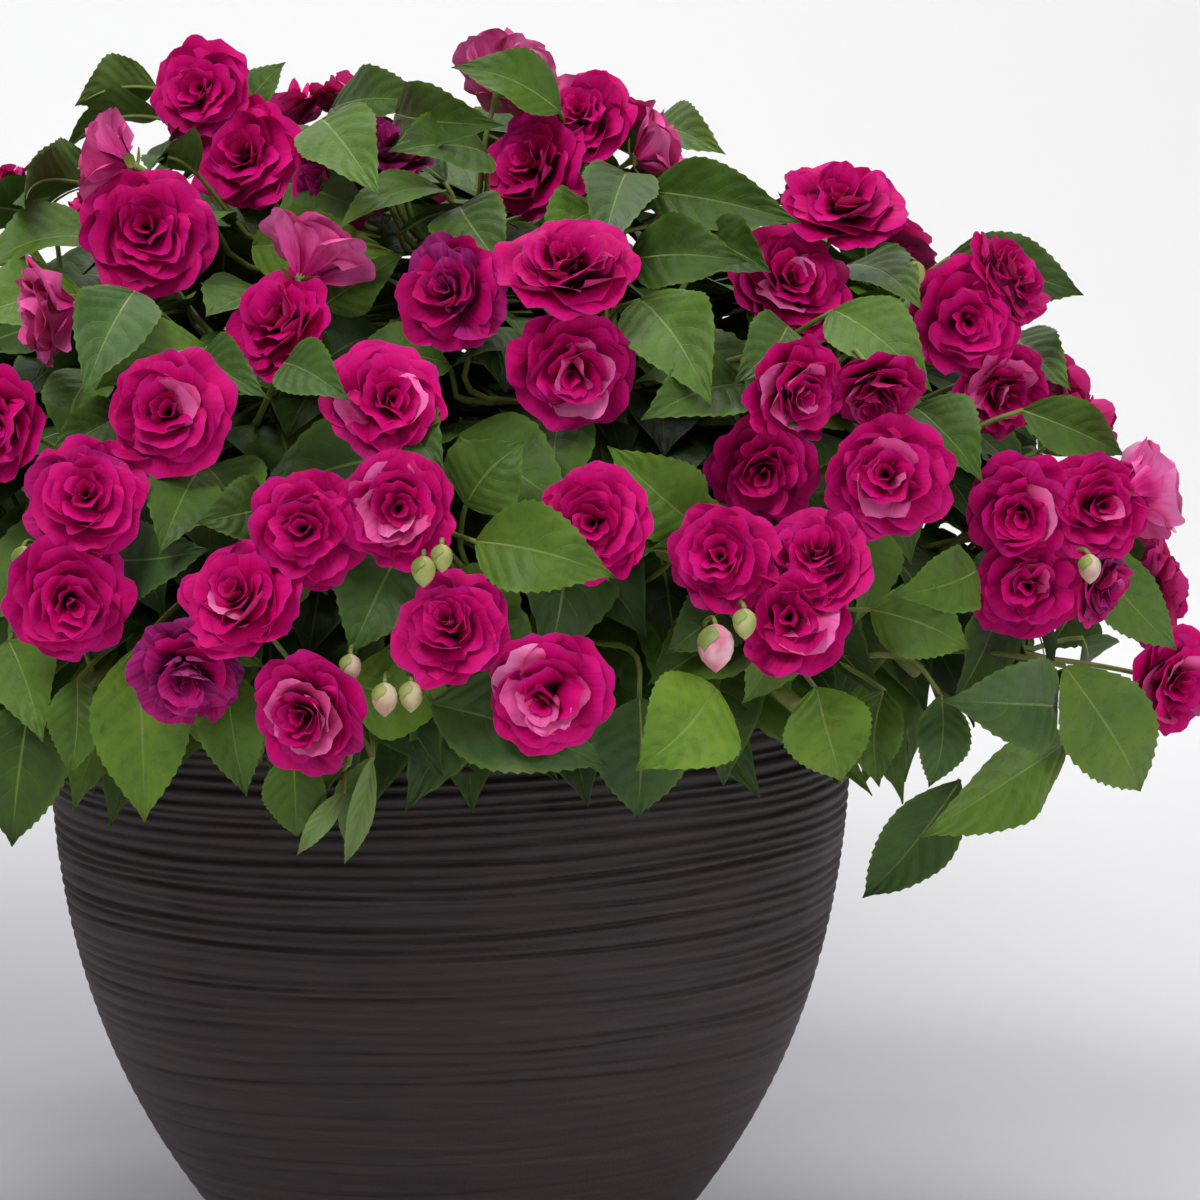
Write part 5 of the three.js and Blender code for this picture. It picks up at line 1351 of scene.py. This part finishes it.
def backdrop_material():
    n = Nodes("backdrop")
    spot = n.spot()
    aside, back = (n.node("ShaderNodeSeparateXYZ", {0: spot}, out=k) for k in (0, 1))
    # painted shadow: the floor is greyer than the wall and darker on the left, where the plant's shadow falls
    floor = n.blend(aside, (177, 176, 180), (222, 221, 224), 0.0, 0.4)
    # painted light: the floor brightens near its front, more on the right, against the pot's own shadow there
    floor = n.mix(n.ramp(back, 0.3, 0.0, 0.0, n.ramp(aside, -0.1, 0.3, 0.5, 1.0)), floor, (238, 237, 240))
    # painted shade: the wall dims a little toward the right
    wall = n.blend(aside, (255, 255, 255), (250, 249, 250), -0.5, 0.9)
    colour = n.blend(back, floor, wall, 0.4, 1.9)
    material = n.finish(Base_Color=colour, Roughness=0.9, Specular_IOR_Level=0.1)
    # seen from behind it is clear, so that it hides nothing in the views of the back
    front = Wire(n, n.shader.outputs[0])
    seen = n.node("ShaderNodeMixShader", {0: n.back(), 1: front, 2: n.node("ShaderNodeBsdfTransparent")})
    n.set(n.tree.nodes["Material Output"].inputs[0], seen)
    return material


def build_backdrop():
    """A pale floor that curves up into a wall."""
    profile = [(FLOOR_FRONT, 0.0), (FLOOR_END, 0.0)]
    profile += [(FLOOR_END + SWEEP_RADIUS * math.sin(a), SWEEP_RADIUS - SWEEP_RADIUS * math.cos(a))
                for a in np.linspace(0.1, math.pi / 2, 16)]
    profile += [(FLOOR_END + SWEEP_RADIUS, WALL_TOP)]
    mesh = bpy.data.meshes.new("backdrop")
    points = [(x, y, z - 0.0005) for y, z in profile for x in (-HALF_WIDE, HALF_WIDE)]
    faces = [(2 * i, 2 * i + 1, 2 * i + 3, 2 * i + 2) for i in range(len(profile) - 1)]
    mesh.from_pydata(points, [], faces, shade_flat=False)
    mesh.materials.append(backdrop_material())
    floor = new_object("backdrop", mesh)


def area_light(name, place, target, size, power):
    light = bpy.data.lights.new(name, "AREA")
    light.shape, light.size, light.energy = "DISK", size, power
    lamp = new_object(name, light)
    lamp.location = place
    lamp.rotation_euler = (Vector(target) - Vector(place)).to_track_quat("-Z", "Y").to_euler()


build_backdrop()
area_light("key", (-0.9, -1.7, 2.5), (0, 0, 0.3), 1.2, 42)
area_light("fill", (1.8, -1.6, 1.5), (0, 0, 0.3), 1.2, 17)
area_light("top", (0.0, 0.2, 2.4), (0, 0, 0.2), 1.4, 14)
area_light("wall", (0.0, 1.6, 3.0), (0, 2.6, 0.2), 2.0, 36)
world = bpy.data.worlds.new("world")
world.use_nodes = True
world.node_tree.nodes["Background"].inputs[0].default_value = (1, 1, 1, 1)
world.node_tree.nodes["Background"].inputs[1].default_value = 0.25
bpy.context.scene.world = world

camera_data = bpy.data.cameras.new("camera")
camera_data.lens, camera_data.sensor_width, camera_data.clip_end = 190, 36, 50
camera = new_object("camera", camera_data)
camera.location = [v / 1000 for v in EYE]
camera.rotation_euler = (math.radians(83), 0, 0)
bpy.context.scene.camera = camera
bpy.context.scene.view_settings.view_transform = "Standard"
